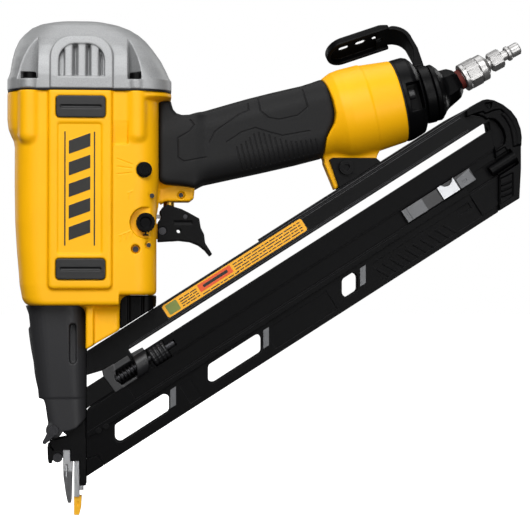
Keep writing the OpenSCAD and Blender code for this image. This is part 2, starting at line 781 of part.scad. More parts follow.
shroud_outline = concat(
  [[-29.5, 124], [-27.5, 119], [-26.8, 112], [-28, 110.5], [-27.5, 105], [-26.4, 98], [-25, 91], [-24.4, 84]],
  [[-23.4, 79], [-22.4, 75], [-22, 69.6], [-19, 69], [-18, 66], [-17.2, 60], [-16.5, 55.4], [-16.8,
    52.4], [-15.4, 48.8]],
  [[-14.4, 48], [-8, 50], [-4, 50.5], [0, 52], [3, 55], [front_x - 0.5, 58], [front_x - 0.2, 124]]
);
// Round-backed section of the shroud, wider at the top.
module shroud_form() {
  hull() {
    translate([0, 0, 123.9]) linear_extrude(0.1) round_rect(-30, 6, -24, 24, 12, $fn = 32);
    translate([0, 0, 70]) linear_extrude(0.1) round_rect(-23, 6, -17, 17, 9, $fn = 32);
  }
  hull() {
    translate([0, 0, 70]) linear_extrude(0.1) round_rect(-23, 6, -16.6, 16.6, 9, $fn = 32);
    translate([0, 0, 46]) linear_extrude(0.1) round_rect(-16.8, 6, -14.2, 14.2, 7, $fn = 32);
  }
}
module nose_shroud() {
  color(BLACK) difference() {
    union() {
      intersection() {
        side(shroud_outline, 70);
        shroud_form();
      }
      y_rod(bail_at, 4.9, -14.6, 14.6);
    }
    // Room for the nose block and the trip link.
    box(-10.4, front_x + 2, -7.6, 7.6, 40, 130);
    box(-3.4, front_x + 2, -7.6, 12.4, 40, 130);
    both_sides() side_plate(-3.8, 0.3, 90, 113.5, 2, -30, -15.5);
    y_rod(bail_at, 1.75, -20, 20);
  }
}
module nose_screw() {
  color(STEEL) {
    y_rod(bail_at, 1.75, -18, 18);
    both_sides() y_rod(bail_at, 3, -15.5, -15.1);
    both_sides() difference() {
      y_rod(bail_at, 2.8, -18.6, -17.6);
      translate([bail_at[0], -18, bail_at[1]]) rotate([90, 0, 0]) hex_prism(2.6, 2);
    }
  }
}

rear_guard_outline = [[25.7, 129.8], [25.7, 110.2], [46.5, 123.4], [46.8, 126], [46.8, 129.8]];
module rear_guard() {
  color(BLACK) difference() {
    intersection() {
      side(rear_guard_outline, 44);
      round_block(10, 46.8, 22, 8, 90, 140);
    }
    both_sides() box(30, 31.4, -23, -21.2, 112, 131);
    both_sides() box(38, 39.4, -23, -21.2, 112, 131);
    box(41.4, 48, 8.3, 13.2, 96, 140);
    in_magazine() box(0, 200, -rail_half_w - gap, rail_half_w + gap, 0, rail_top + 0.2);
    in_magazine() box(0, 200, 8, trip_y1 + gap, 0, 84);
  }
}

block_outline = concat(
  [[-15.4, 44.4], [-5, 46.5], [-10.2, 51.4], [-10.2, floor_z - 0.1], [front_x - 0.4, floor_z - 0.1]],
  [[front_x - 0.4, 17.6], [1.9, 17.6], [1.9, 32], [-3.6, 32], [-3.6, 38.6], [-13.4, 38.6], [-15.4, 41]]
);
module nose_block() {
  color(BLACK) difference() {
    union() {
      side(block_outline, 15);
      y_rod(latch_at, 2.7, -7.5, 7.5);
      box(latch_at[0] - 2.7, latch_at[0] + 2.7, -7.5, 7.5, latch_at[1], 40);
    }
    // Drive way and nail feed slot.
    box(drive_x - 1.5, drive_x + 1.5, -1.95, 1.95, 10, 130);
    box(drive_x, front_x + 1, -nail_slot_half_w, nail_slot_half_w, 10, 101);
    // Room for the contact arm's fingers.
    both_sides() box(-1.9, 1.9, -6.4, -2.6, 16, 44);
    // Seat for the latch pin.
    y_rod(latch_at, 1.6, -9, 9);
  }
}
tip_outline = [[-8, 38.6], [-8, 30], [-7.8, 23], [-6.5, 13], [-5.5, 8], [-5, 7], [-3.4, 7], [-3.1, 9],
  [-2.6, 32],
  [-3.8, 32], [-3.8, 38.6]];
module nose_tip() {
  color(STEEL) difference() {
    intersection() {
      side(tip_outline, 12);
      rotate([90, 0, 90]) linear_extrude(60, center = true)
        polygon([[-6, 39], [-6, 26], [-3, 6.9], [3, 6.9], [6, 26], [6, 39]]);
    }
    box(drive_x - 1.5, 2, -1.95, 1.95, 0, 60);
    both_sides() side_between([[-6.4, 30], [-6.1, 16], [-5.4, 16], [-5.2, 30]], -7, -5.4);
  }
}

trip_y0 = 10.3;
trip_y1 = 12;
rod_top = 166;
// Outline across the tool: the arm beside the drive way, its two fingers and the foot to the far side.
arm_outline = [
  [-5.6, 11], [5.6, 11], [5.6, 13.4], [trip_y0 + 0.3, 13.4], [trip_y0 + 0.3, 19], [5.6, 19], [5.6, 32],
  [2.8, 32], [2.8, 20], [-2.8, 20], [-2.8, 32], [-5.6, 32],
];
// Side outline of the strip, the slanted link beside the rail and the rod up to the trigger.
link_outline = [
  [-1.4, 13], [3.6, 13], [3.6, mag_z(3.6, 67)], [45.4, mag_z(45.4, 67)], [45.4, rod_top - 5], [47,
    rod_top - 5],
  [47, rod_top], [42.2, rod_top], [42.2, mag_z(42.2, 74)], [-1.4, mag_z(-1.4, 74)],
];
module contact_arm() {
  color(STEEL) {
    translate([-1.5, 0, 0]) rotate([90, 0, 90]) linear_extrude(2.9) polygon(arm_outline);
    side_between(link_outline, trip_y0, trip_y1);
  }
}
module no_mar_tip() {
  color(YELLOW) difference() {
    side([[-1.6, 11], [2.9, 11], [2.5, 4], [1.7, 0.6], [1.4, 0], [-1.4, 0], [-1.6, 0.5]], 8.4);
    box(-2, 2, -1.2, 1.2, 6, 20);
    both_sides() box(0.2, 1.2, -5, -3.7, 5.5, 8.2);
  }
}

lever_outline = concat(
  [[-17, 40.6], [-16.8, 34], [-16.2, 31.2], [-14.4, 31], [-13.8, 33]], arc(latch_at, 3, 200, 330, 5),
  [[-8.2, 36.4], [-9.4, 38.2], [-13.6, 38.2], [-15.6, 40.8], [-15.8, 43.4], [-16.6, 43]]
);
module latch_lever() {
  color(BLACK) difference() {
    both_sides() side_between(lever_outline, -9.8, -7.9);
    y_rod(latch_at, 1.6 + play, -12, 12);
  }
  color(BLACK) side([[-17, 40], [-16.8, 34], [-16.2, 31.2], [-15.2, 31], [-15.8, 36], [-15.9, 40]], 16.4);
}
module latch_pin() {
  color(STEEL) {
    y_rod(latch_at, 1.6, -10.2, 10.2);
    y_rod(latch_at, 2.6, -11.4, -10.1);
    y_rod(latch_at, 2.6, 10.1, 11.4);
  }
}
// Wire bail from the shroud screw down over the lever's hook.
bail_end = [-18.2, 44.2];
module latch_bail() {
  color(STEEL) {
    both_sides() difference() {
      hull() {
        y_rod(bail_at, 2.9, -17.2, -15.7);
        y_rod(bail_end, 1.2, -17.2, -15.7);
      }
      y_rod(bail_at, 1.75 + play, -20, -12);
    }
    y_rod(bail_end, 0.9, -16.6, 16.6);
  }
}

// ---------------------------------------------------------------- magazine

// Rear edge shared by the side plates, cover and end cap, in world coordinates.
rear_x = 265.4;
cap_shape = concat(
  [[234, 238.4], [240, 244.4], [243, 246.9], [247, 248.2], [252, 247.4], [257, 244.4], [260.4, 240.8]],
  [[263.6, 236], [266, 230.8], [267.5, 225.4], [267.8, 222], [266.4, 220.8], [rear_x, 219], [rear_x, 206]],
  [[264.4, 188], [252, 180.4], [252, 203.6], [249.6, 215.6], [246.6, 236.2], [242.6, 237]]
);
module end_cap_zone() { side(cap_shape, 60); }

module feed_slot(t0, t1) { box(-40, 400, -nail_slot_half_w, nail_slot_half_w, t0, t1); }

module magazine_rail() {
  color(BLACK) difference() {
    in_magazine() difference() {
      union() {
        box(20, 345, -rail_half_w, rail_half_w, rail_bottom, rail_top);
        box(179, 345, -rail_half_w + 0.4, rail_half_w - 0.4, rail_top, rail_top_rear);
        // Deeper front end over the adjuster.
        box(50, 78, -rail_half_w, rail_half_w, rail_bottom - 5.4, rail_bottom + 1);
      }
      feed_slot(50, rail_bottom + 6.4);
      box(-40, 400, -nail_slot_half_w - 1.4, nail_slot_half_w + 1.4, rail_bottom + 3, rail_bottom + 6.4);
      // Long side grooves.
      both_sides() box(80, 320, -rail_half_w - 1, -rail_half_w + 0.9, rail_bottom + 1.2, rail_bottom + 1.9);
      both_sides() box(186, 320, -rail_half_w - 1, -rail_half_w + 0.9, rail_top - 2, rail_top - 1.2);
      // Label seat.
      box(108, 206.4, -rail_half_w - 1, -rail_half_w + 0.5, rail_bottom + 2.6, rail_top - 1);
    }
    in_front();
    end_cap_zone();
    bracket_bolt_way();
  }
}
module bracket_bolt_way() { y_rod(bolt_at, 2.6, -40, 40); }

// Plain label plate with blank panels and bars.
module rail_label() {
  color(YELLOW) in_magazine() difference() {
    box(108.2, 206.2, -rail_half_w - 0.3, -rail_half_w + 0.5, rail_bottom + 2.8, rail_top - 1.2);
    box(128, 150, -rail_half_w - 1, -rail_half_w - 0.15, rail_bottom + 3.4, rail_top - 5.4);
    for (i = [0:2]) box(153, 194, -rail_half_w - 1, -rail_half_w - 0.15, rail_bottom + 4 + 2 * i,
      rail_bottom + 4.8 + 2 * i);
  }
}

module plate_features() {
  // Running band for the pusher, line above it and ridge below it.
  both_sides() {
    box(66, 345, -plate_half_w - 1, -plate_half_w + 2.2, pusher_low - 0.6, pusher_high + 0.6);
    box(-20, 345, -plate_half_w - 1, -plate_half_w + 0.8, pusher_high + 0.6, pusher_high + 1.6);
  }
}
module side_plates() {
  color(BLACK) difference() {
    in_magazine() {
      difference() {
        box(-20, 345, -plate_half_w, plate_half_w, plate_bottom, plate_top);
        feed_slot(0, 100);
        plate_features();
        adjuster_cavity();
        spring_drum_way();
      }
      both_sides() box(30, 250, -plate_half_w - 0.8, -plate_half_w + 1, plate_bottom + 0.4,
        plate_bottom + 2.9);
    }
    in_front();
    end_cap_zone();
    // Open corner behind the nose.
    side([[0, 76], [0, 90], [14.4, 86], [21.6, 74.2], [front_x, 62]], 40);
    magazine_screw_ways();
    // Rear wall stops at the end cap.
    box(251, 400, -60, 60, 0, 210);
    box(256, 400, -60, 60, 0, 400);
  }
}

// A window as a slanted shape with upright ends, in world coordinates.
module window(x0, x1, low, high, w) {
  side(softened([[x0, mag_z(x0, low)], [x1, mag_z(x1, low)], [x1, mag_z(x1, high)],
    [x0, mag_z(x0, high)]], window_r), w);
}
windows = [[22.4, 54.6], [77.5, 109.8], [157.4, 167.8]];
window_r = 3;
module magazine_windows() { for (v = windows) window(v[0], v[1], 22, 33, 60); }
module magazine_cover() {
  color(BLACK) difference() {
    in_magazine() difference() {
      box(-20, 345, -cover_half_w, cover_half_w, mag_bottom, cover_top);
      feed_slot(mag_bottom + 1.8, 60);
      // Sunk panels between the windows.
      both_sides() {
        box(152, 196, -cover_half_w - 1, -cover_half_w + 0.8, mag_bottom + 3, cover_top - 3);
        box(228, 300, -cover_half_w - 1, -cover_half_w + 0.8, mag_bottom + 3, cover_top - 4);
        box(92, 100, -cover_half_w - 1, -cover_half_w + 0.5, mag_bottom + 3, cover_top - 3);
      }
    }
    in_front();
    magazine_windows();
    foot_zone(0.5);
    box(252, 400, -60, 60, 0, 400);
    tab_seats();
    magazine_screw_ways();
    // Slot near the rear.
    both_sides() in_magazine() box(288, 297, -cover_half_w - 1, -cover_half_w + 2, 27, 31);
  }
  // Slanted ribs on the rear panel, and the cross barrel.
  color(BLACK) both_sides() {
    in_magazine() for (i = [0:9]) translate([232 + 5.4 * i, 0, mag_bottom + 3.2]) rotate([0, -28, 0])
      box(0, 1.2, -cover_half_w - 0.1, -cover_half_w + 0.9, 0, 9);
    intersection() {
      in_magazine() box(300, 312, -cover_half_w - 1.2, -cover_half_w + 0.5, 20, 34);
      box(0, 252, -60, 0, 0, 300);
    }
  }
}
module tab_seats() {
  both_sides() for (v = windows) intersection() {
    in_magazine() box(-40, 400, -cover_half_w - 1, -cover_half_w + 1, 23.4, 32.6);
    box(v[1] + 0.5, v[1] + 3.9, -60, 0, 0, 300);
  }
}
module window_tabs() {
  color(GREY) both_sides() for (v = windows) intersection() {
    in_magazine() box(-40, 400, -cover_half_w - 0.4, -cover_half_w + 1, 23.4, 32.6);
    box(v[1] + 0.5, v[1] + 3.9, -60, 0, 0, 300);
  }
}

module foot_zone(grow) {
  side([[front_x - 1, 22 - grow * 2], [16.4 + grow, 28.6], [12.6 + grow * 0.4, 35.4 + grow],
    [front_x - 1, 33 + grow]], 30);
}
module magazine_foot() {
  color(BLACK) difference() {
    intersection() {
      foot_zone(0);
      box(front_x, 20, -cover_half_w, cover_half_w, 0, 60);
      in_magazine() box(0, 60, -20, 20, mag_bottom, 60);
    }
    box(0, 40, -nail_slot_half_w, nail_slot_half_w, 26.8, 60);
  }
}

module spring_drum_way() { box(300, 336.4, -14, -6.6, 34.4, 44.6); }
module magazine_end_cap() {
  color(BLACK) difference() {
    union() {
      difference() {
        end_cap_zone();
        both_sides() box(200, 300, -60, -12.4, 0, 300);
      }
      // Raised rim round the top.
      intersection() {
        side(concat([[236, 241.6], [240, 244.4], [243, 246.9], [247, 248.2], [252, 247.4], [257, 244.4],
          [260.4, 240.8]],
          [[263.6, 236], [266, 230.8], [267.5, 225.4], [263.4, 224.6], [261, 231], [257, 237.6], [252,
            242], [246, 243.6]]), 26.6);
        end_cap_zone();
      }
    }
    // Dark pocket beside the rail's end, and a notch in the rim.
    both_sides() {
      side_between([[247.6, 235.6], [250.4, 236.6], [253.4, 233.6], [257.2, 226.4], [258.4, 222.6],
        [256.6, 219.6], [250.2, 219]], -20, -7);
      side_between([[246.4, 246.4], [250.6, 246], [249, 243.4]], -20, -11);
      side_between([[253.6, 188], [262, 193], [262, 202], [253.6, 200]], -20, -11.6);
    }
    // Clearance for the spring drum.
    in_magazine() spring_drum_way();
    in_magazine() box(300, 333, -nail_slot_half_w, nail_slot_half_w, 18, 72);
  }
  color(BLACK) both_sides() for (i = [0:3]) side_between(
    [[254.4, 189.6 + 3 * i], [261, 193 + 3 * i], [261, 194 + 3 * i], [254.4, 190.6 + 3 * i]], -12.2, -11.5);
}

module magazine_bracket() {
  color(BLACK) both_sides() difference() {
    side_between([[149.8, 210.8], [155.7, rail_z(155.7)], [180.6, rail_z(180.6)], [180, 210.4], [178,
      212], [152, 212]],
      -9.6, -6.2);
    bracket_bolt_way();
  }
  color(BLACK) in_magazine() difference() {
    box(240, 262, -9.6, 9.6, rail_top_rear, rail_top_rear + 1.4);
    box(230, 270, -6.1, 6.1, rail_top_rear - 1, rail_top_rear + 3);
  }
}
module bracket_bolt() {
  color(BLACK) {
    difference() {
      union() {
        y_rod(bolt_at, 2.6, -9.6, 9.6);
        y_rod(bolt_at, 4.3, -12.6, -9.6);
      }
      translate([bolt_at[0], -11, bolt_at[1]]) rotate([90, 0, 0]) hex_prism(4, 4);
    }
    translate([bolt_at[0], 12.4, bolt_at[1]]) rotate([90, 0, 0]) hex_prism(7.6, 2.8);
  }
}

screw_places = [[13, 50.3], [17.4, 52.8]];
module magazine_screw_ways() { for (p = screw_places) y_rod(p, 1.6, -20, 20); }
module magazine_screws() {
  color(STEEL) {
    both_sides() for (p = screw_places) y_rod(p, 1.6, -plate_half_w - 0.9, -nail_slot_half_w - gap);
  }
}

// ---------------------------------------------------------------- depth adjuster

wheel_s0 = 87;
wheel_s1 = 97.6;
adjust_t = 55;
adjust_y = -8.8;
wheel_r = 6;
module adjuster_cavity() {
  // Window over the spring, round way for the rod and pocket for the wheel.
  box(63, 77, -plate_half_w - 2, -plate_half_w + 6, 50.8, 59.4);
  translate([0, adjust_y, adjust_t]) {
    x_rod(2.4, 50, 104);
    x_rod(wheel_r + gap, wheel_s0 - 0.4, wheel_s1 + 0.4);
  }
  box(76, 85, -plate_half_w - 2, -plate_half_w + 1.6, 49.9, 60.5);
}
module adjuster_frame() {
  color(GREY) in_magazine() {
    box(56.4, 62.8, -plate_half_w - 0.9, -plate_half_w, 50.2, 60.4);
    difference() {
      box(76.2, 84.8, -plate_half_w - 1.6, -plate_half_w + 1.6, 50, 60.4);
      translate([0, adjust_y, adjust_t]) x_rod(2.4, 50, 104);
    }
  }
}
module adjuster_rod() {
  color(STEEL) in_magazine() translate([0, adjust_y, adjust_t]) x_rod(2.4, 62.8, 103);
}
module adjuster_spring() {
  color(STEEL) in_magazine() translate([0, adjust_y, adjust_t]) for (i = [0:5])
    translate([64.2 + 2.2 * i, 0, 0]) rotate([0, 90, 0]) seal_ring(3.2, 0.7);
}
module depth_wheel() {
  color(BLACK) in_magazine() translate([0, adjust_y, adjust_t]) difference() {
    x_rod(wheel_r, wheel_s0, wheel_s1);
    x_rod(2.4 + play, wheel_s0 - 1, wheel_s1 + 1);
    for (s = [89, 91.6, 94.2]) translate([s, 0, 0]) rotate([0, 90, 0]) ring(8, wheel_r - 0.6, 0, 1.3);
    for (a = [0:24:359]) rotate([a, 0, 0]) translate([0, 0, wheel_r + 0.4]) x_rod(0.9, wheel_s0 - 1,
      wheel_s1 + 1);
  }
}

// ---------------------------------------------------------------- pusher

module pusher() {
  color(GREY) in_magazine() {
    difference() {
      union() {
        // Grey front tab, slide and rear block.
        box(259.4, 273.6, -plate_half_w - 1.6, -plate_half_w + 1.8, pusher_low + 0.4, pusher_high - 0.2);
        box(273.6, 308, -plate_half_w - 0.6, -plate_half_w + 1.8, pusher_low + 0.4, pusher_high - 0.2);
        box(297.4, 307, -plate_half_w - 1.4, -plate_half_w, pusher_low + 0.4, pusher_high - 2);
      }
      box(261.4, 262.8, -plate_half_w - 2, -plate_half_w - 1.1, pusher_low, pusher_high);
      box(300, 303, -plate_half_w - 2, -plate_half_w - 0.8, pusher_low + 2.2, pusher_low + 4);
    }
  }
}
latch_hinge_s = 296;
latch_hinge_y = -plate_half_w - 1.65;
module pusher_latch() {
  color(STEEL) in_magazine() difference() {
    union() {
      box(284.6, latch_hinge_s, latch_hinge_y - 0.95, latch_hinge_y + 0.95, pusher_low + 0.4,
        pusher_high + 0.2);
      // Round barrel that it turns on.
      translate([latch_hinge_s, latch_hinge_y, pusher_low + 0.4]) cylinder(h = 8.4, r = 0.95);
    }
    translate([291.6, 0, pusher_high + 1.6]) rotate([90, 0, 0]) cylinder(h = 60, r = 4, center = true);
  }
}
module pusher_spring() {
  color(STEEL) in_magazine() translate([0, -10.3, 39.4]) {
    x_rod(3.4, 318, 335.6);
  }
}

housing();
cap_gasket();
top_cap();
cap_screws();
exhaust_baffle();
cylinder_sleeve();
cylinder_seals();
driver_bumper();
piston();
piston_ring();
driver_blade();
head_valve();
head_valve_spring();
side_pads();
side_badges();
handle_grip();
end_cap_gasket();
end_cap();
end_cap_screws();
inlet_boss();
thread_seal();
air_plug();
belt_hook();
housing_pins();
selector_knob();
blower_ring();
blower_button();
trigger_pin();
trigger();
trigger_lever();
lever_pin();
valve_body();
valve_stem();
nose_shroud();
nose_screw();
rear_guard();
nose_block();
nose_tip();
contact_arm();
no_mar_tip();
latch_lever();
latch_pin();
latch_bail();
magazine_rail();
rail_label();
side_plates();
magazine_cover();
window_tabs();
magazine_foot();
magazine_end_cap();
magazine_bracket();
bracket_bolt();
magazine_screws();
adjuster_frame();
adjuster_rod();
adjuster_spring();
depth_wheel();
pusher();
pusher_latch();
pusher_spring();
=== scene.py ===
import json
import math

import bmesh
import bpy
import numpy as np
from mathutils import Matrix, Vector


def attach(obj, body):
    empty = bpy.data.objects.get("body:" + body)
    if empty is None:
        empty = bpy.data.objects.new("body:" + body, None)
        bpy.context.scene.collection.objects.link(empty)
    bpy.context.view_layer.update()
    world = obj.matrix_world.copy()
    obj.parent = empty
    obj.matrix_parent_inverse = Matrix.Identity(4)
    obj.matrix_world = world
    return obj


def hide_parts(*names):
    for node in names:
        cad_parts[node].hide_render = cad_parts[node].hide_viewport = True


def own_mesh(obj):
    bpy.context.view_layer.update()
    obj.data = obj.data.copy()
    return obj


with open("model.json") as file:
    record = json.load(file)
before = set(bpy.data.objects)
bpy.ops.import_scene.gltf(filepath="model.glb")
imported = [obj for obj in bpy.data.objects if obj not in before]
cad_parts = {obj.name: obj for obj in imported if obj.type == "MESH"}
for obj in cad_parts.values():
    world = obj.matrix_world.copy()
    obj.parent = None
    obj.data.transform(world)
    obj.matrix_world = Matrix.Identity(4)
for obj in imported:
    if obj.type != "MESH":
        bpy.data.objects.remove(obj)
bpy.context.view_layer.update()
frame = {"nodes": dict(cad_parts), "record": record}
nodes = frame["nodes"]
record = frame["record"]
body_of = {n: b for b, ns in record["behaviour"]["bodies"].items() for n in ns}
slot_of = {s["node"]: s["material_slot"] for s in record["subparts"]}
MM = 0.001
link = bpy.context.scene.collection.objects.link

# The tool's lines in its side view, in degrees and mm.
MAGAZINE_LEAN = 32.5
HANDLE_RISE = 14
INLET_RISE = 28.8
HOOK_TURN = 30
HANDLE_AT = (105.3, 225.2)
INLET_AT = (230.6, 260.5)
DRIVE_X = -3.2
ADJUSTER_AT = (-8.8, 55)  # y and height above the magazine's foot line
ROD_BORE = 2.5
VALVE_X = 54.3
KNOB_AT = (40.4, 171.9)
BUTTON_AT = (39.6, 202.4)
BODY_TOP = 248
CAP_FOOT = 249.05
SCREW_SEAT = 254.6


def turn(degrees):
    """The cosine and sine of an angle."""
    return math.cos(math.radians(degrees)), math.sin(math.radians(degrees))


# ------------------------------------------ camera, light and floor

camera = bpy.data.objects.new("camera", bpy.data.cameras.new("camera"))
link(camera)
camera.location = (0.03703, -0.9971, 0.133)
aim = Vector((0.112, 0.0, 0.148)) - camera.location
camera.rotation_mode = "QUATERNION"
camera.rotation_quaternion = aim.to_track_quat("-Z", "Y")
camera.data.lens = 113.2
camera.data.sensor_width = 36
camera.data.clip_start = 0.05
camera.data.clip_end = 60
bpy.context.scene.camera = camera
view = bpy.context.scene.view_settings
view.view_transform, view.look = "Standard", "None"


def softbox(name, at, to, size, power):
    lamp = bpy.data.lights.new(name, "AREA")
    lamp.shape = "RECTANGLE"
    lamp.size, lamp.size_y = size
    lamp.energy = power
    o = bpy.data.objects.new(name, lamp)
    o.location = at
    o.rotation_mode = "QUATERNION"
    o.rotation_quaternion = (Vector(to) - Vector(at)).to_track_quat("-Z", "Y")
    link(o)


softbox("key", (-0.15, -1.15, 0.95), (0.1, 0, 0.16), (1.1, 0.8), 17.5)
softbox("fill", (0.75, -1.25, 0.1), (0.1, 0, 0.15), (0.7, 0.8), 6)
softbox("low", (0.15, -1.15, 0.06), (0.12, 0, 0.2), (1.2, 0.1), 2)
softbox("top", (0.1, 0.1, 1.5), (0.1, 0, 0), (1.0, 1.0), 7.5)
softbox("back_left", (-0.9, 0.9, 0.6), (0.05, 0, 0.15), (0.5, 1.2), 5)
softbox("back_right", (1.1, 0.9, 0.7), (0.15, 0, 0.15), (0.5, 1.2), 5)

world = bpy.data.worlds.new("studio")
bpy.context.scene.world = world
world.use_nodes = True
wt = world.node_tree
wt.nodes.clear()
w_out = wt.nodes.new("ShaderNodeOutputWorld")
w_mix = wt.nodes.new("ShaderNodeMixShader")
w_path = wt.nodes.new("ShaderNodeLightPath")
w_seen = wt.nodes.new("ShaderNodeBackground")
w_lit = wt.nodes.new("ShaderNodeBackground")
for shade, strength in ((w_seen, 1.0), (w_lit, 0.08)):
    shade.inputs["Color"].default_value = (1, 1, 1, 1)
    shade.inputs["Strength"].default_value = strength
wt.links.new(w_path.outputs["Is Camera Ray"], w_mix.inputs["Fac"])
wt.links.new(w_lit.outputs[0], w_mix.inputs[1])
wt.links.new(w_seen.outputs[0], w_mix.inputs[2])
wt.links.new(w_mix.outputs[0], w_out.inputs["Surface"])

floor_mesh = bpy.data.meshes.new("floor")
bm = bmesh.new()
bmesh.ops.create_circle(bm, cap_ends=True, segments=96, radius=8)
bm.to_mesh(floor_mesh)
bm.free()
floor = bpy.data.objects.new("floor", floor_mesh)
floor.location = (0.1, 0, -0.0002)
link(floor)
fm = bpy.data.materials.new("floor")
fm.use_nodes = True
fb = fm.node_tree.nodes["Principled BSDF"]
fb.inputs["Base Color"].default_value = (0.93, 0.93, 0.93, 1)
fb.inputs["Roughness"].default_value = 0.9
fb.inputs["Specular IOR Level"].default_value = 0.1
fb.inputs["Emission Color"].default_value = (1, 1, 1, 1)
fb.inputs["Emission Strength"].default_value = 1.0
floor_mesh.materials.append(fm)
floor.visible_diffuse = floor.visible_glossy = False


# ------------------------------------------ materials

def linear(hex_colour):
    c = [int(hex_colour[i:i + 2], 16) / 255 for i in (1, 3, 5)]
    return tuple(v / 12.92 if v <= 0.04045 else ((v + 0.055) / 1.055) ** 2.4 for v in c) + (1.0,)


def spread(nt, source, low, high, in_low=0.3, in_high=0.7):
    """A noise value stretched to run from low to high."""
    n = nt.nodes.new("ShaderNodeMapRange")
    n.inputs["From Min"].default_value = in_low
    n.inputs["From Max"].default_value = in_high
    n.inputs["To Min"].default_value = low
    n.inputs["To Max"].default_value = high
    nt.links.new(source, n.inputs["Value"])
    return n.outputs["Result"]


def noise(nt, coord, scale, detail=2.0, stretch=None):
    if stretch:
        m = nt.nodes.new("ShaderNodeMapping")
        m.inputs["Scale"].default_value = stretch
        nt.links.new(coord, m.inputs["Vector"])
        coord = m.outputs["Vector"]
    n = nt.nodes.new("ShaderNodeTexNoise")
    n.inputs["Scale"].default_value = scale
    n.inputs["Detail"].default_value = detail
    nt.links.new(coord, n.inputs["Vector"])
    return n.outputs["Fac"]


def finish(name, colour, rough, metal=0.0, spec=0.5, tone=0.05, tone_scale=35.0, speck=0.0,
           grain=2200.0, depth=0.015, rough_var=0.07, bevel=0.45, edge_highlight_colour=None, edge_highlight_amount=0.5, stretch=None):
    """A surface with broad tone changes, fine grain in colour, roughness and relief, and rounded edges, with an
    optional painted highlight that lightens the colour along the edges.

    grain is in cycles for each metre, and depth and bevel are in mm.
    """
    m = bpy.data.materials.new(name)
    m.use_nodes = True
    nt = m.node_tree
    bsdf = nt.nodes["Principled BSDF"]
    bsdf.inputs["Metallic"].default_value = metal
    bsdf.inputs["Specular IOR Level"].default_value = spec
    coord = nt.nodes.new("ShaderNodeTexCoord").outputs["Object"]
    big = noise(nt, coord, tone_scale, 3.0)
    fine = noise(nt, coord, grain, 2.0, stretch)
    value = spread(nt, big, 1 - tone, 1 + tone)
    if speck:
        mul = nt.nodes.new("ShaderNodeMath")
        mul.operation = "MULTIPLY"
        nt.links.new(value, mul.inputs[0])
        nt.links.new(spread(nt, fine, 1 - speck, 1 + speck), mul.inputs[1])
        value = mul.outputs[0]
    hsv = nt.nodes.new("ShaderNodeHueSaturation")
    hsv.inputs["Color"].default_value = linear(colour)
    nt.links.new(value, hsv.inputs["Value"])
    out = hsv.outputs["Color"]
    soft = nt.nodes.new("ShaderNodeBevel") if bevel else None
    if soft:
        soft.samples = 6
        soft.inputs["Radius"].default_value = bevel * MM
    # Painted highlight: near edges, where the rounded normal turns from the true normal, the colour is mixed
    # toward the lighter edge highlight colour.
    if edge_highlight_colour:
        geo = nt.nodes.new("ShaderNodeNewGeometry")
        dot = nt.nodes.new("ShaderNodeVectorMath")
        dot.operation = "DOT_PRODUCT"
        nt.links.new(soft.outputs["Normal"], dot.inputs[0])
        nt.links.new(geo.outputs["Normal"], dot.inputs[1])
        edge_highlight_mask = spread(nt, dot.outputs["Value"], edge_highlight_amount, 0.0, 0.86, 0.99)
        mix = nt.nodes.new("ShaderNodeMix")
        mix.data_type = "RGBA"
        nt.links.new(edge_highlight_mask, mix.inputs["Factor"])
        nt.links.new(out, mix.inputs["A"])
        mix.inputs["B"].default_value = linear(edge_highlight_colour)
        out = mix.outputs["Result"]
    nt.links.new(out, bsdf.inputs["Base Color"])
    nt.links.new(spread(nt, fine, rough - rough_var, rough + rough_var), bsdf.inputs["Roughness"])
    bump = nt.nodes.new("ShaderNodeBump")
    bump.inputs["Strength"].default_value = 1.0
    bump.inputs["Distance"].default_value = depth * MM
    nt.links.new(fine, bump.inputs["Height"])
    if soft:
        nt.links.new(soft.outputs["Normal"], bump.inputs["Normal"])
    nt.links.new(bump.outputs["Normal"], bsdf.inputs["Normal"])
    return m
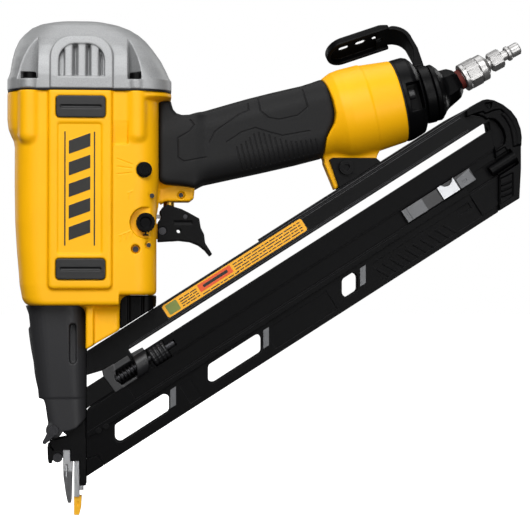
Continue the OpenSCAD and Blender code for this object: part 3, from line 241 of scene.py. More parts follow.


# The edge colours below are painted highlights: a lighter colour along rounded edges that stands in for light
# caught there.
mats = {
    "yellow": finish("yellow_paint", "#FFB904", 0.44, spec=0.24, tone=0.03, grain=1500, depth=0.012,
                     bevel=0.4, edge_highlight_colour="#FFCB40", edge_highlight_amount=0.3, speck=0.015),
    "cast": finish("cast_metal", "#9B9C9D", 0.5, metal=0.35, spec=0.5, tone=0.04, speck=0.12, grain=1700,
                   depth=0.05, bevel=0.4, edge_highlight_colour="#C8C8C8", edge_highlight_amount=0.3),
    "grip": finish("grip_rubber", "#161617", 0.6, spec=0.22, tone=0.08, grain=1800, depth=0.03, bevel=0.4),
    "pad": finish("pad_rubber", "#141415", 0.42, spec=0.4, tone=0.05, grain=2200, depth=0.012, bevel=0.4),
    "shroud": finish("shroud_plastic", "#2B2B2D", 0.5, spec=0.35, tone=0.06, grain=1800, depth=0.02,
                     bevel=0.4, edge_highlight_colour="#343437", edge_highlight_amount=0.3),
    "seal": finish("seal_rubber", "#0A0A0A", 0.6, spec=0.3, tone=0.08, grain=1800, depth=0.01, bevel=0.2),
    "black_metal": finish("black_metal", "#050506", 0.4, spec=0.1, tone=0.08, grain=1300, depth=0.012,
                          bevel=0.4, edge_highlight_colour="#3A3A3C", edge_highlight_amount=0.5),
    "black_plastic": finish("black_plastic", "#040405", 0.42, spec=0.07, tone=0.07, grain=1900, depth=0.01,
                            bevel=0.35, edge_highlight_colour="#38383A", edge_highlight_amount=0.45),
    "steel": finish("bright_steel", "#A9AAAC", 0.36, metal=1.0, tone=0.06, grain=700, depth=0.004, bevel=0.0,
                    stretch=(1, 1, 6), speck=0.05),
    "plated": finish("plated_steel", "#B0AFAE", 0.38, metal=0.8, tone=0.04, grain=260, depth=0.0003,
                     bevel=0.0, speck=0.02, rough_var=0.015),
    # The rail's light edge colour is a painted reflection of the light along its top edge.
    "rail": finish("rail_metal", "#050506", 0.4, spec=0.1, tone=0.07, grain=1300, depth=0.012, bevel=0.45,
                   edge_highlight_colour="#77777A", edge_highlight_amount=0.7),
    "pin": finish("pin_steel", "#39393B", 0.42, metal=1.0, tone=0.06, grain=900, depth=0.003, bevel=0.0,
                  speck=0.05),
    "piston": finish("piston_metal", "#A4A5A8", 0.4, metal=1.0, tone=0.05, grain=800, depth=0.01, bevel=0.3),
    "brass": finish("brass", "#B08A3A", 0.35, metal=1.0, tone=0.06, grain=900, depth=0.01, bevel=0.25),
    "sealant": finish("thread_seal", "#571A12", 0.7, spec=0.3, tone=0.15, tone_scale=200, grain=1400,
                      depth=0.06, bevel=0.2),
    "label": finish("label_film", "#F5AE14", 0.36, spec=0.4, tone=0.02, grain=900, depth=0.002, bevel=0.1),
    "soft_tip": finish("soft_tip", "#F4B418", 0.5, spec=0.4, tone=0.06, grain=1500, depth=0.02, bevel=0.35),
    "grey": finish("grey_plastic", "#5E5F61", 0.42, metal=0.5, spec=0.45, tone=0.05, grain=1800, depth=0.01,
                   bevel=0.3, edge_highlight_colour="#8A8A8C", edge_highlight_amount=0.35),
    "dark_grey": finish("dark_grey_plastic", "#1B1B1D", 0.4, spec=0.5, tone=0.05, grain=1800, depth=0.01,
                        bevel=0.3, edge_highlight_colour="#3A3A3C", edge_highlight_amount=0.4),
}
for key, colour, rough, tone in [("ink", "#161410", 0.45, 0.05), ("orange", "#E2571F", 0.4, 0.03),
                                 ("olive", "#77833A", 0.4, 0.03)]:
    mats[key] = finish("label_" + key, colour, rough, spec=0.4, tone=tone, grain=1500, depth=0.002, bevel=0.05)
slot_material = {
    "yellow_paint": "yellow", "cast_metal": "cast", "grip_rubber": "grip", "seal_rubber": "seal",
    "black_metal": "black_metal", "black_plastic": "black_plastic", "bright_steel": "steel",
    "plated_steel": "plated", "piston_metal": "piston", "brass": "brass", "thread_seal": "sealant",
    "label": "label", "soft_tip": "soft_tip", "grey_plastic": "grey",
}
own_material = {name: "pin" for name in ("housing_pins", "trigger_pin", "latch_pin", "lever_pin",
                                         "nose_screw", "adjuster_rod")}
own_material.update(magazine_screws="black_metal", pusher_spring="black_plastic")
for name, o in nodes.items():
    o.data.materials.clear()
    o.data.materials.append(mats[own_material.get(name, slot_material[slot_of[name]])])

# The pusher's raised parts are darker than its plate.
PUSHER_DARK = [(273.7, 297.3), (307.5, 400)]
magazine_c, magazine_s = turn(MAGAZINE_LEAN)
slide = nodes["pusher"].data
slide.materials.append(mats["dark_grey"])
for face in slide.polygons:
    along = (face.center.x * magazine_c + face.center.z * magazine_s) / MM
    if any(a < along < b for a, b in PUSHER_DARK):
        face.material_index = 1


# ------------------------------------------ mesh helpers

def add(name, mesh, materials, node, smooth=True):
    """Adds a piece that takes a CAD node's place and rides on its body."""
    o = bpy.data.objects.new(name, mesh)
    link(o)
    if len(mesh.materials):
        mesh.materials.clear()
    for m in materials:
        mesh.materials.append(mats[m])
    if smooth:
        mesh.polygons.foreach_set("use_smooth", [True] * len(mesh.polygons))
    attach(o, body_of[node])
    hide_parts(node)
    return o


def relaxed(mesh, passes, voxel=None):
    """The mesh after some smoothing passes. With a voxel size in mm it is first remade as one skin."""
    o = bpy.data.objects.new("work", mesh)
    link(o)
    if voxel:
        r = o.modifiers.new("remesh", "REMESH")
        r.mode = "VOXEL"
        r.voxel_size = voxel * MM
    s = o.modifiers.new("smooth", "SMOOTH")
    s.factor = 0.5
    s.iterations = passes
    bpy.context.view_layer.update()
    dg = bpy.context.evaluated_depsgraph_get()
    result = bpy.data.meshes.new_from_object(o.evaluated_get(dg))
    result.name = mesh.name
    bpy.data.objects.remove(o)
    return result


def remeshed(node, voxel, passes):
    """A CAD solid as one fine skin whose edges are rounded by smoothing, as a casting or a moulding is."""
    mesh = nodes[node].data.copy()
    mesh.name = node + "_skin"
    bm = bmesh.new()
    bm.from_mesh(mesh)
    bmesh.ops.remove_doubles(bm, verts=bm.verts, dist=1e-7)
    bm.to_mesh(mesh)
    bm.free()
    return relaxed(mesh, passes, voxel)


def vertex_arrays(mesh):
    n = len(mesh.vertices)
    co = np.empty(n * 3)
    no = np.empty(n * 3)
    mesh.vertices.foreach_get("co", co)
    mesh.vertices.foreach_get("normal", no)
    return co.reshape(-1, 3), no.reshape(-1, 3)


def line_distance(points, segments):
    """Distance in mm of each (x, z) point to the nearest segment."""
    best = np.full(len(points), 1e9)
    for a, b in segments:
        a, b = np.array(a, float), np.array(b, float)
        d = b - a
        t = np.clip(((points - a) @ d) / (d @ d), 0, 1)
        best = np.minimum(best, np.hypot(*(points - a - t[:, None] * d).T))
    return best


def chain(points):
    return list(zip(points[:-1], points[1:]))


def refine(mesh, segments, reach):
    """Splits the faces near the lines once, so that a fine groove keeps its shape."""
    bm = bmesh.new()
    bm.from_mesh(mesh)
    co = np.array([v.co for v in bm.verts]) / MM
    near = line_distance(co[:, [0, 2]], segments) < reach
    edges = [e for e in bm.edges if near[e.verts[0].index] or near[e.verts[1].index]]
    bmesh.ops.subdivide_edges(bm, edges=edges, cuts=1, use_grid_fill=True)
    bm.to_mesh(mesh)
    bm.free()


def engrave(mesh, segments, width, depth, facing=0.35, sides=(-1, 1), min_y=0.0):
    """Sinks (or raises, with a negative depth) lines drawn on the tool's sides."""
    refine(mesh, segments, width + 0.6)
    co, no = vertex_arrays(mesh)
    mm = co / MM
    d = line_distance(mm[:, [0, 2]], segments)
    k = np.clip(1 - d / width, 0, 1)
    k = k * k * (3 - 2 * k)
    mask = np.zeros(len(co), bool)
    for side in sides:
        mask |= (no[:, 1] * side > facing) & (mm[:, 1] * side > min_y)
    co -= no * (k * mask * depth * MM)[:, None]
    mesh.vertices.foreach_set("co", co.ravel())
    mesh.update()


# ------------------------------------------ solid shapes on a grid

class Grid:
    """A block of points in mm. A shape is a distance on it: below zero inside and above zero outside."""

    def __init__(self, lo, hi, step):
        self.lo, self.step = np.array(lo, float), step
        n = [int(math.ceil((b - a) / step)) + 1 for a, b in zip(lo, hi)]
        self.x, self.y, self.z = (
            (lo[k] + step * np.arange(n[k])).astype(np.float32).reshape([-1 if j == k else 1 for j in range(3)])
            for k in range(3)
        )
        self.shape = n


def smin(a, b, k):
    h = np.clip(0.5 + 0.5 * (b - a) / k, 0, 1)
    return b + (a - b) * h - k * h * (1 - h)


def smax(a, b, k):
    return -smin(-a, -b, k)


def table(c, points):
    """Straight lines between (place, value) points."""
    return np.interp(c, [p[0] for p in points], [p[1] for p in points]).astype(np.float32)


def rounded(a, b, ca, cb, ha, hb, r):
    """A rectangle with round corners in two coordinates."""
    qa, qb = np.abs(a - ca) - (ha - r), np.abs(b - cb) - (hb - r)
    return np.hypot(np.maximum(qa, 0), np.maximum(qb, 0)) + np.minimum(np.maximum(qa, qb), 0) - r


def outline(a, b, points):
    """A polygon in two coordinates."""
    pa, pb = np.broadcast_arrays(a, b)
    d = np.full(pa.shape, 1e9, np.float32)
    inside = np.zeros(pa.shape, bool)
    for (a0, b0), (a1, b1) in zip(points, points[1:] + points[:1]):
        ea, eb, wa, wb = a1 - a0, b1 - b0, pa - a0, pb - b0
        t = np.clip((wa * ea + wb * eb) / (ea * ea + eb * eb), 0, 1)
        d = np.minimum(d, np.hypot(wa - ea * t, wb - eb * t))
        side = ea * wb - eb * wa
        inside ^= ((b0 <= pb) & (pb < b1) & (side > 0)) | ((b1 <= pb) & (pb < b0) & (side < 0))
    return np.where(inside, -d, d).astype(np.float32)


def between(c, lo, hi):
    return np.maximum(lo - c, c - hi)


def skin(grid, f, name):
    """The surface where the distance is zero, as a mesh of quads in metres."""
    f = np.ascontiguousarray(np.broadcast_to(f, grid.shape), dtype=np.float32).copy()
    for k in range(3):
        for end in (0, -1):
            cut = [slice(None)] * 3
            cut[k] = end
            f[tuple(cut)] = np.maximum(f[tuple(cut)], 0.01)
    s = f < 0
    n = np.array(f.shape) - 1
    corner = [(i, j, k) for i in (0, 1) for j in (0, 1) for k in (0, 1)]
    count = np.zeros(n, np.uint8)
    for i, j, k in corner:
        count += s[i:n[0] + i, j:n[1] + j, k:n[2] + k]
    cells = np.argwhere((count > 0) & (count < 8))
    index = np.full(n, -1, np.int32)
    index[tuple(cells.T)] = np.arange(len(cells))
    total, hits = np.zeros((len(cells), 3)), np.zeros(len(cells))
    for a in corner:
        for axis in range(3):
            if a[axis] == 0:
                b = np.array(a)
                b[axis] = 1
                fa, fb = f[tuple((cells + a).T)], f[tuple((cells + b).T)]
                m = (fa < 0) != (fb < 0)
                t = fa[m] / (fa[m] - fb[m])
                total[m] += np.array(a) + t[:, None] * (b - np.array(a))
                hits[m] += 1
    verts = (cells + total / hits[:, None]) * grid.step + grid.lo
    quads = []
    for axis in range(3):
        lo = [slice(None)] * 3
        hi = [slice(None)] * 3
        lo[axis], hi[axis] = slice(0, -1), slice(1, None)
        e = np.argwhere(s[tuple(lo)] != s[tuple(hi)])
        p, q = (axis + 1) % 3, (axis + 2) % 3
        e = e[(e[:, p] > 0) & (e[:, q] > 0) & (e[:, p] < n[p]) & (e[:, q] < n[q])]
        ring = []
        for dp, dq in ((-1, -1), (0, -1), (0, 0), (-1, 0)):
            c = e.copy()
            c[:, p] += dp
            c[:, q] += dq
            ring.append(index[tuple(c.T)])
        ring = np.stack(ring, 1)
        out = s[tuple(e.T)]
        ring[~out] = ring[~out][:, ::-1]
        quads.append(ring)
    quads = np.concatenate(quads)
    mesh = bpy.data.meshes.new(name)
    mesh.vertices.add(len(verts))
    mesh.vertices.foreach_set("co", (verts * MM).ravel())
    mesh.loops.add(quads.size)
    mesh.loops.foreach_set("vertex_index", quads.ravel())
    mesh.polygons.add(len(quads))
    mesh.polygons.foreach_set("loop_start", np.arange(0, quads.size, 4))
    mesh.update(calc_edges=True)
    return mesh


def in_magazine(x, z):
    """Along and up the magazine."""
    c, s = turn(MAGAZINE_LEAN)
    return x * c + z * s, z * c - x * s


def in_handle(x, z):
    """Along and across the handle."""
    c, s = turn(HANDLE_RISE)
    ox, oz = HANDLE_AT
    return (x - ox) * c + (z - oz) * s, (z - oz) * c - (x - ox) * s


# The cap screws' columns as (x, radius), the trigger lug as (x, z) and the cross pins as (x, z, radius).
SCREW_Y = 30.2
bosses = [(-26.4, 6.3), (34.9, 5.9)]
lug = [(40, 199), (40, 176), (46.8, 179.5), (49, 183.8), (52, 185.5), (66.5, 185.5), (69, 187.5), (69.5, 192),
       (69.5, 200), (40, 214)]
pins = [(44.1, 187.6, 1.3), (61.4, 189.2, 1.3), (42.2, 159, 1.3), (34.6, 156.6, 1.7)]


# ------------------------------------------ barrel

def barrel():
    g = Grid((-42, -39.5, 96), (72, 39.5, 249.4), 0.5)
    x, y, z = g.x, g.y, g.z
    ay = np.abs(y)
    front = table(z, [(96, -29), (124, -29), (128, -31), (136, -32.5), (145, -33.2), (156, -34.2),
                      (172, -35.2), (193, -35.6), (216, -35.6), (219.5, -36.2), (222.5, -37.7),
                      (226.5, -39.3), (232, -40)])
    rear = table(z, [(184, 46.8), (197, 48), (243.2, 48), (245.4, 55.5)])
    f = rounded(x, y, (front + rear) / 2, 0, (rear - front) / 2, 34, table(z, [(124, 13), (215, 15), (232, 16.5)]))
    f = smax(f, np.where(x < 25.5, 124, 130) - z, 3)
    f = smax(f, z - BODY_TOP, 0.6)
    # The wedge down to the rail, with an upright rib along its front.
    foot = (98.6 + (x - 6) * 0.5737 - z) * 0.868
    wedge = smax(smax(rounded(x, y, 15.7, 0, 9.8, 23.5, 3), foot, 1), z - 130, 1)
    f = smin(f, wedge, 7)
    f = smin(f, smax(smax(rounded(x, y, 8.2, 0, 2.3, 27, 1.4), foot, 1), z - 127, 1), 1.2)
    # Columns under the cap screws.
    for bx, r in bosses:
        d = np.sqrt((x - bx) ** 2 + (ay - SCREW_Y) ** 2 + np.minimum(z - 223, 0) ** 2) - r
        f = smin(f, smax(d, z - BODY_TOP, 0.6), 1.6)
    # Recess ramp beside the rear column.
    f = smax(f, -np.maximum(np.maximum(between(x, 20.5, 30), between(z, 217.4, 230)),
                            34 - 0.17 * (230 - z) - ay), 0.6)
    # Raised side panel with its recess and pad seats.
    panel = smax(rounded(x, z, 2.85, 195, 18.3, 61.5, 3), ay - 37, 2.2)
    f = smin(f, smax(panel, z - BODY_TOP, 0.4), 1.5)
    f = smax(f, -smax(rounded(x, z, 2.6, 191.4, 12.6, 37.6, 1.6), 35.9 - ay, 1.2), 1.0)
    for zc in (238.3, 145):
        f = smax(f, -np.maximum(rounded(x, z, 3.2, zc, 14.35, 6.25, 2.2), 35.5 - ay), 0.4)
    # Lug with the trigger valve, and the handle's root.
    f = smin(f, smax(outline(x, z, lug), ay - 8.5, 2), 3.5)
    u, w = in_handle(x, z)
    f = smin(f, np.maximum(rounded(y, w, 0, 0, 15.2, 18.6, 11), between(x, 44, 70)), 0.5)
    # Pockets, bores and ways for the moving parts.
    s, t = in_magazine(x, z)
    axis = np.hypot(x - DRIVE_X, y)
    cuts = [
        np.maximum(axis - 27, between(z, 146, 260)), np.maximum(axis - 24.6, between(z, 128, 170)),
        np.maximum(axis - 6, between(z, 100, 140)),
        np.maximum(np.maximum(between(x, -16, 6), ay - 11), between(z, 80, 124)),
        np.maximum(np.maximum(ay - 9.4, between(t, 0, 78.6)), np.maximum(x - 40, z - 140)),
        np.maximum(np.maximum(between(y, 8, 12.4), between(t, 0, 84)), np.maximum(x - 41.5, z - 128)),
        np.maximum(np.maximum(ay - 8.4, between(x, 42.6, 49)), between(z, 158, 185.4)),
        np.maximum(np.maximum(between(y, 8.3, 13.2), between(x, 41.4, 49)), between(z, 90, 185.4)),
        np.maximum(np.hypot(x - VALVE_X, y) - 5.25, between(z, 184, 230)),
        np.maximum(np.hypot(x - VALVE_X, y) - 3.3, z - 187),
        np.maximum(np.hypot(x - KNOB_AT[0], z - KNOB_AT[1]) - 9, y + 29.5),
        np.maximum(np.hypot(x - BUTTON_AT[0], z - BUTTON_AT[1]) - 4.6, y + 32.6),
        np.maximum(np.hypot(x - BUTTON_AT[0], z - BUTTON_AT[1]) - 3.4, y + 24),
    ]
    for c in cuts:
        f = smax(f, -c, 0.3)
    for px, pz, r in pins:
        f = np.maximum(f, -np.maximum(np.hypot(x - px, z - pz) - r - 0.9, (6.6 if px > 60 else 30) - ay))
    # Tongue between the trigger's cheeks.
    tongue = np.minimum(np.hypot(x - 50.5, z - 168), np.maximum(np.abs(z - 168), between(x, 40, 50.5))) - 4.6
    f = smin(f, smax(np.maximum(tongue, 38 - x), ay - 5, 0.8), 0.3)
    return skin(g, f, "housing_barrel")


def nail_icon(x, z):
    """A plain slanted nail: a head and a shank."""
    return [((x - 1.2, z + 1.0), (x + 1.4, z + 2.2)), ((x + 0.1, z + 1.6), (x - 0.9, z - 2.2))]


grip_lines = (
    chain([(66.5, 233), (69, 230), (66, 226), (59.2, 222), (59.6, 210.5), (63, 208.4), (76, 211)])
    + chain([(100.5, 243.5), (101, 239), (96, 237), (81, 226), (78, 220)])
    + chain([(106.5, 247), (108, 238.5), (113, 234.5), (119, 233.5), (130, 236), (136, 241), (133, 252)])
    + chain([(88, 220), (97, 226), (105, 228.5), (113, 226), (121, 224), (137, 227)])
)


def handle_point(u, w):
    """The (x, z) of a point along and across the handle."""
    c, s = turn(HANDLE_RISE)
    return HANDLE_AT[0] + u * c - w * s, HANDLE_AT[1] + u * s + w * c


def rib_top(u):
    return float(np.interp(u, [-16, -8, 0, 6, 12, 20, 33], [-4, -1.4, 3, 0.4, -4.4, -8, -9.5]))


grip_ribs = [(handle_point(u, rib_top(u) - 2.2), handle_point(u, -19)) for u in (-13 + 2.9 * i for i in range(17))]

# The seam between the grip and the handle's flared end, as (u, w), drawn past the grip's ends.
SEAM = [(47.4, 30), (47.4, 24), (48.2, 18), (48.8, 8), (48.4, 0), (46.6, -5), (43, -9), (40.4, -12.3),
        (39, -16), (37, -23), (37, -30)]


def handle_end():
    """The flared end of the handle, its inner bar and the lug for the magazine bracket."""
    g = Grid((58, -28.5, 190), (200, 28.5, 280), 0.5)
    x, y, z = g.x, g.y, g.z
    ay = np.abs(y)
    u, w = in_handle(x, z)
    radius = np.hypot(w, y)
    reach = table(u, [(30, 22.4), (44, 22.6), (48, 24.0), (53, 26.2), (58, 26.9), (70.2, 27.1), (71.2, 26.5),
                      (89.5, 24.9)])
    f = smax(radius - reach, outline(u, w, [(89.5, -30), (89.5, 30)] + SEAM), 0.8)
    arm = smax(outline(x, z, [(147, 214), (147, 209), (153.6, 193.2), (156.4, 195), (178, 209), (180, 216)]),
               ay - 6, 1)
    f = smin(f, arm, 2.5)
    f = smin(f, np.maximum(rounded(y, w, 0, 0, 15.2, 18.6, 11), between(u, -60, 60)), 0.4)
    for c in (np.maximum(radius - 20, u - 92) + np.maximum(58 - u, 0) * 2, np.maximum(radius - 12.6, u - 70),
              np.hypot(x - 159.8, z - 206) - 2.7):
        f = smax(f, -c, 0.3)
    return skin(g, f, "housing_handle")


def grip():
    g = Grid((46, -21, 190), (156, 21, 262), 0.45)
    x, y, z = g.x, g.y, g.z
    ay = np.abs(y)
    u, w = in_handle(x, z)
    side = [(48, 245), (48, 199), (49.2, 196.4), (52, 195), (62, 194.4), (69.5, 193.2), (75, 195.6),
            (90, 198.8), (110, 203), (130, 207.5), (146.5, 212), (146.8, 219), (147.6, 223), (149.2, 227),
            (151.1, 230.6), (152.4, 235), (152.8, 239), (151.9, 243.2), (150, 250), (147.8, 255.6),
            (145.3, 259.9), (143, 259.3), (139, 257.4), (133, 255.2), (115, 251), (100, 247), (80, 240.8),
            (66, 236.4), (61.6, 236.2), (58.6, 237.2), (56.6, 239.4), (55.5, 243), (55.5, 245)]
    section = smin(rounded(y, w, 0, 0, 19, 24.2, 15.5), rounded(x, y, 57, 0, 17, 18.6, 6), 5)
    f = smax(outline(x, z, side), section, 3.5)
    reach = table(u, [(30, 22.5), (44, 22.7), (48, 24.1), (53, 26.3), (58, 27)])
    seam = [(round(a - 0.1, 1), b) for a, b in SEAM]
    f = smax(f, -np.maximum(np.hypot(w, y) - reach, outline(u, w, [(90, -30), (90, 30)] + seam)), 0.5)
    f = np.maximum(f, -np.maximum(outline(x, z, lug), ay - 8.6))
    f = np.maximum(f, -rounded(y, w, 0, 0, 15.4, 18.8, 11))
    f = smax(f, -np.maximum(x - 56, 244 - z), 0.4)
    return skin(g, f, "grip_skin")


# ------------------------------------------ cap

def cap():
    g = Grid((-41, -38.8, 248.4), (56.6, 38.8, 293.4), 0.4)
    x, y, z = g.x, g.y, g.z
    ay = np.abs(y)
    front_at = [(249, -40), (255.6, -40), (257, -39.3), (260, -38.4), (267, -37.5), (273, -36.2), (279, -34),
                (283, -31.2), (286.4, -27.4), (288.4, -23), (289.8, -16.5), (290.8, -6), (291.2, 2)]
    rear_at = [(249, 55.5), (255.2, 55.5), (256.6, 54.4), (261, 52.4), (267, 49.4), (274, 44.6), (279, 40.8),
               (283, 36.7), (285.8, 32.2), (288.2, 26), (290.2, 17), (291.2, 8)]
    half_at = [(249, 34.8), (257, 34.8), (262, 34.2), (268, 32.8), (274, 30.6), (279, 27.8), (283.4, 24.2),
               (286.6, 20.2), (288.6, 16.6), (290, 12.6), (290.8, 8), (291.2, 4)]
    rise = 257 + (z - 257) / 1.038
    rise = np.where(z > 257, rise, z)
    x0, x1, half = table(rise, front_at), table(rise, rear_at), table(rise, half_at)
    lean = np.maximum(np.gradient(-half.ravel(), g.step), np.gradient(x0.ravel(), g.step)).reshape(z.shape)
    r = np.minimum(table(z, [(249, 16.5), (262, 17.5), (275, 20), (290, 24)]),
                   0.94 * np.minimum(half, (x1 - x0) / 2))
    f = rounded(x, y, (x0 + x1) / 2, 0, (x1 - x0) / 2, half, r) / np.sqrt(1 + np.minimum(lean, 4) ** 2)
    f = smax(smax(f, z - 292.4, 1.5), CAP_FOOT - z, 0.3)
    # Upright pockets over the screws, cut into the leaning sides.
    for bx, r in bosses:
        away = 1 if bx > 0 else -1
        along = (x - bx) * away + 4.8
        wall = 25.8 + (1.15 if bx > 0 else 0.45) * along - ay
        pocket = np.maximum(-along, wall / math.sqrt(2))
        pocket = np.minimum(pocket, np.maximum(np.hypot(x - bx, ay - SCREW_Y) - 4.9, z - 258.9))
        f = smax(f, -np.maximum(pocket, SCREW_SEAT - z), 0.35)
        f = smin(f, smax(np.hypot(x - bx, ay - SCREW_Y) - r, np.maximum(z - SCREW_SEAT, CAP_FOOT - z), 0.8), 0.6)
    # Frames round the vents, three round-faced ribs in each.
    face = 36.8 - 0.11 * np.maximum(z - 256, 0)

    def arch(grow):
        return rounded(x, z, 3.6, 240, 13.0 + grow, 34.8 + grow, 9.4 + 0.6 * grow)

    frame_form = smax(smax(arch(5), ay - face, 0.8), np.maximum(CAP_FOOT - z, 26 - ay), 0.3)
    f = smin(f, frame_form, 0.5)
    window = np.maximum(arch(0), 256 - z)
    f = smax(f, -np.maximum(window, face - 4.6 - ay), 0.6)
    for cx in (-3.9, 3.7, 11.1):
        f = smin(f, smax(rounded(x, ay, cx, face - 4.2, 2.5, 3.6, 1.1), window + 0.1, 0.4), 0.5)
        f = smax(f, -np.maximum(window + 1, rounded(x, ay, cx + 3.75, face - 4.6, 0.5, 1.6, 0.4)), 0.3)
    # Hollow for the head valve and, above it, for the valve's spring.
    axis = np.hypot(x - DRIVE_X, y)
    f = smax(f, -np.maximum(axis - 24.5, z - 278), 0.3)
    f = smax(f, -np.maximum(axis - 23.8, z - 283.15), 0.2)
    return skin(g, f, "cap_skin")


# ------------------------------------------ end cap, boss and hook

def end_cap_form():
    g = Grid((180, -28, 214), (216, 28, 288), 0.4)
    x, y, z = g.x, g.y, g.z
    u, w = in_handle(x, z)
    t = in_magazine(x, z)[1]
    radius = np.hypot(w, y)
    profile = [(90.3, -5), (90.3, 24.9), (94, 25.1), (97.2, 25.2), (99.6, 24.3), (101.4, 22.3), (102.8, 19.8),
               (104, 17), (104, 15.4), (111, 15.4), (111, -5)]
    f = smax(outline(u, radius, profile), 80.15 - t, 0.8)
    window = np.maximum(np.maximum(between(u, 93.1, 101.8), between(w, -9.2, 7.4)), 11 - np.abs(y))
    cuts = [window, np.maximum(radius - 9, u - 112)]
    cuts += [np.maximum(np.hypot(w - a, y) - 3.3, 95.4 - u) for a in (-18.4, 18.4)]
    for c in cuts:
        f = smax(f, -c, 0.4)
    return skin(g, f, "end_cap_form")


def boss_form():
    """The inlet's root behind the hook's ring and its six-sided taper."""
    g = Grid((204, -18.6, 234), (236, 18.6, 276), 0.35)
    x, y, z = g.x, g.y, g.z
    u, w = in_handle(x, z)
    radius = np.hypot(w, y)
    f = outline(u, radius, [(111, -5), (111, 15.4), (111.2, 17), (113.5, 17.2), (114.2, 16.6), (116.4, 14.4),
                            (119, 10), (119, -5)])
    beads, bead_radius = 22, 15.9
    angle = np.mod(np.arctan2(y, w), 2 * math.pi / beads) - math.pi / beads
    f = smin(f, np.sqrt((u - 114) ** 2 + (radius - bead_radius) ** 2 + (bead_radius * angle) ** 2) - 0.85, 0.3)
    c, s = turn(INLET_RISE)
    ox, oz = INLET_AT
    i, j = (x - ox) * c + (z - oz) * s, (z - oz) * c - (x - ox) * s
    hexed = np.maximum(np.abs(y), np.abs(y) / 2 + np.abs(j) * 0.866)
    taper = smax(hexed - table(i, [(-19, 11.5), (-5.6, 8.9), (-4.4, 8.5), (-1.6, 6.4)]),
                 between(i, -22, -1.4), 0.7)
    f = smin(f, np.maximum(taper, 111.1 - u), 1.6)
    for cut in (np.maximum(np.hypot(y, j) - 5.3, -18 - i), np.maximum(radius - 6, u - 117)):
        f = smax(f, -cut, 0.2)
    return skin(g, f, "boss_form")


def hook_form():
    """The belt hook: a ring round the handle's end, a bent strap and a slotted pad."""
    g = Grid((146, -19, 234), (222, 35, 304), 0.4)
    x, y, z = g.x, g.y, g.z
    u, w = in_handle(x, z)
    c, s = turn(HOOK_TURN)
    across, up = y * c - w * s, y * s + w * c
    ring = smax(np.hypot(across, up) - 17.5, between(u, 104.4, 110.6), 0.7)

    def bend(radius, degrees):
        return [(97 + radius * turn(d)[0], 38 + radius * turn(d)[1]) for d in degrees]

    path = [(111, 16.6), (111.4, 30)] + bend(13.2, range(0, 84, 12)) + [(90, 49.6), (90, 47.1), (96, 48.2)]
    path += bend(10.2, range(83, -1, -12)) + [(108.2, 30), (104.6, 16.6)]
    strap = smax(outline(u, up, path), np.abs(across) - 8, 0.6)
    c, s = turn(6)
    a, b = (u - 57.5) * c + (up - 42.6) * s, (up - 42.6) * c - (u - 57.5) * s

    def pad(inset, end):
        return np.where(a < 20, rounded(a, across, 19 + inset / 2, 0, 19 - inset / 2, 11 - inset, 10.8 - inset),
                        np.maximum(np.abs(across) - 11 + inset, a - end))

    body = smax(pad(0, 41), between(b, 0, 5), 1.2)
    body = smax(body, -np.maximum(pad(2.5, 60), b - 3.9), 0.8)
    f = smin(smin(ring, strap, 1.2), body, 0.8)
    for n in range(3):
        f = smax(f, -np.maximum(rounded(a, across, 12.2 + 11 * n, -0.2, 3.0, 1.35, 1.3), between(b, -2, 9)), 0.3)
    f = np.maximum(f, -np.maximum(np.hypot(across, up) - 15.45, between(u, 100, 114)))
    f = smax(f, z - 295.9, 0.4)
    return skin(g, f, "hook_form")


def rear_form():
    """The magazine's moulded rear end: an arched rim, pockets and small ribs."""
    g = Grid((228, -13.6, 178), (270, 13.6, 250), 0.35)
    x, y, z = g.x, g.y, g.z
    ay = np.abs(y)
    s, t = in_magazine(x, z)
    arch = [(232, 240.4), (238.7, 245.1), (242.1, 246.9), (244.8, 247.4), (248.8, 246.8), (254.2, 244.3),
            (258.9, 240.7), (262.6, 235.8), (264.9, 229.6), (265.6, 224.3), (265.4, 219.6)]
    body = outline(x, z, arch + [(265.4, 206), (264.4, 188), (252, 180.4), (252, 203.6), (249.6, 215.6),
                                 (246.6, 234), (242.6, 237)])
    f = smax(body, ay - 12.1, 0.8)
    rim = outline(x, z, arch + [(262.4, 220.4), (262.6, 224.4), (261.8, 228.8), (259.6, 234), (256.4, 238.2),
                                (252.6, 241.4), (248.2, 240.6), (243.4, 238.6), (242, 239.9), (237.4, 238.6),
                                (232, 236.4)])
    f = smin(f, smax(rim, ay - 13.3, 0.9), 0.5)
    band = outline(x, z, [(259, 240.6), (262.6, 235.8), (264.9, 229.6), (265.6, 224.3), (263.4, 219.6),
                          (260.4, 219), (259.8, 225), (258.4, 230.8), (255.8, 235.4), (253, 238.6)])
    f = smin(f, smax(band, ay - 12.9, 0.8), 0.5)
    pockets = [
        (outline(x, z, [(245.2, 236), (249.3, 235.6), (252, 233.2), (254.8, 229.1), (256, 224.4),
                        (255.4, 220.6), (250.7, 217.4), (249.4, 219)]), 7.5),
        (outline(x, z, [(243.1, 245), (247.6, 245.4), (246.8, 242), (245.3, 242)]), 10.6),
        (outline(x, z, [(252.8, 199.8), (260.3, 203.4), (260.3, 189.4), (252.8, 184.4)]), 11.0),
        (np.maximum(between(s, 323.4, 333), between(t, 39.6, 47.4)), 11.4),
    ]
    for shape, depth in pockets:
        f = smax(f, -np.maximum(shape, depth - ay), 0.6)
    for k in range(3):
        rib = np.maximum(between(z - 0.42 * (x - 256), 189.6 + 3.4 * k, 190.6 + 3.4 * k),
                         between(x, 253.4, 259.6))
        f = smin(f, smax(rib, ay - 11.9, 0.4), 0.3)
    for box_cut in (np.maximum(np.maximum(between(s, 300, 335), between(t, 34.4, 44.6)), between(y, -14, -6.6)),
                    np.maximum(np.maximum(between(s, 300, 333), between(t, 18, 72)), ay - 1.9)):
        f = smax(f, -box_cut, 0.2)
    return skin(g, f, "rear_form")


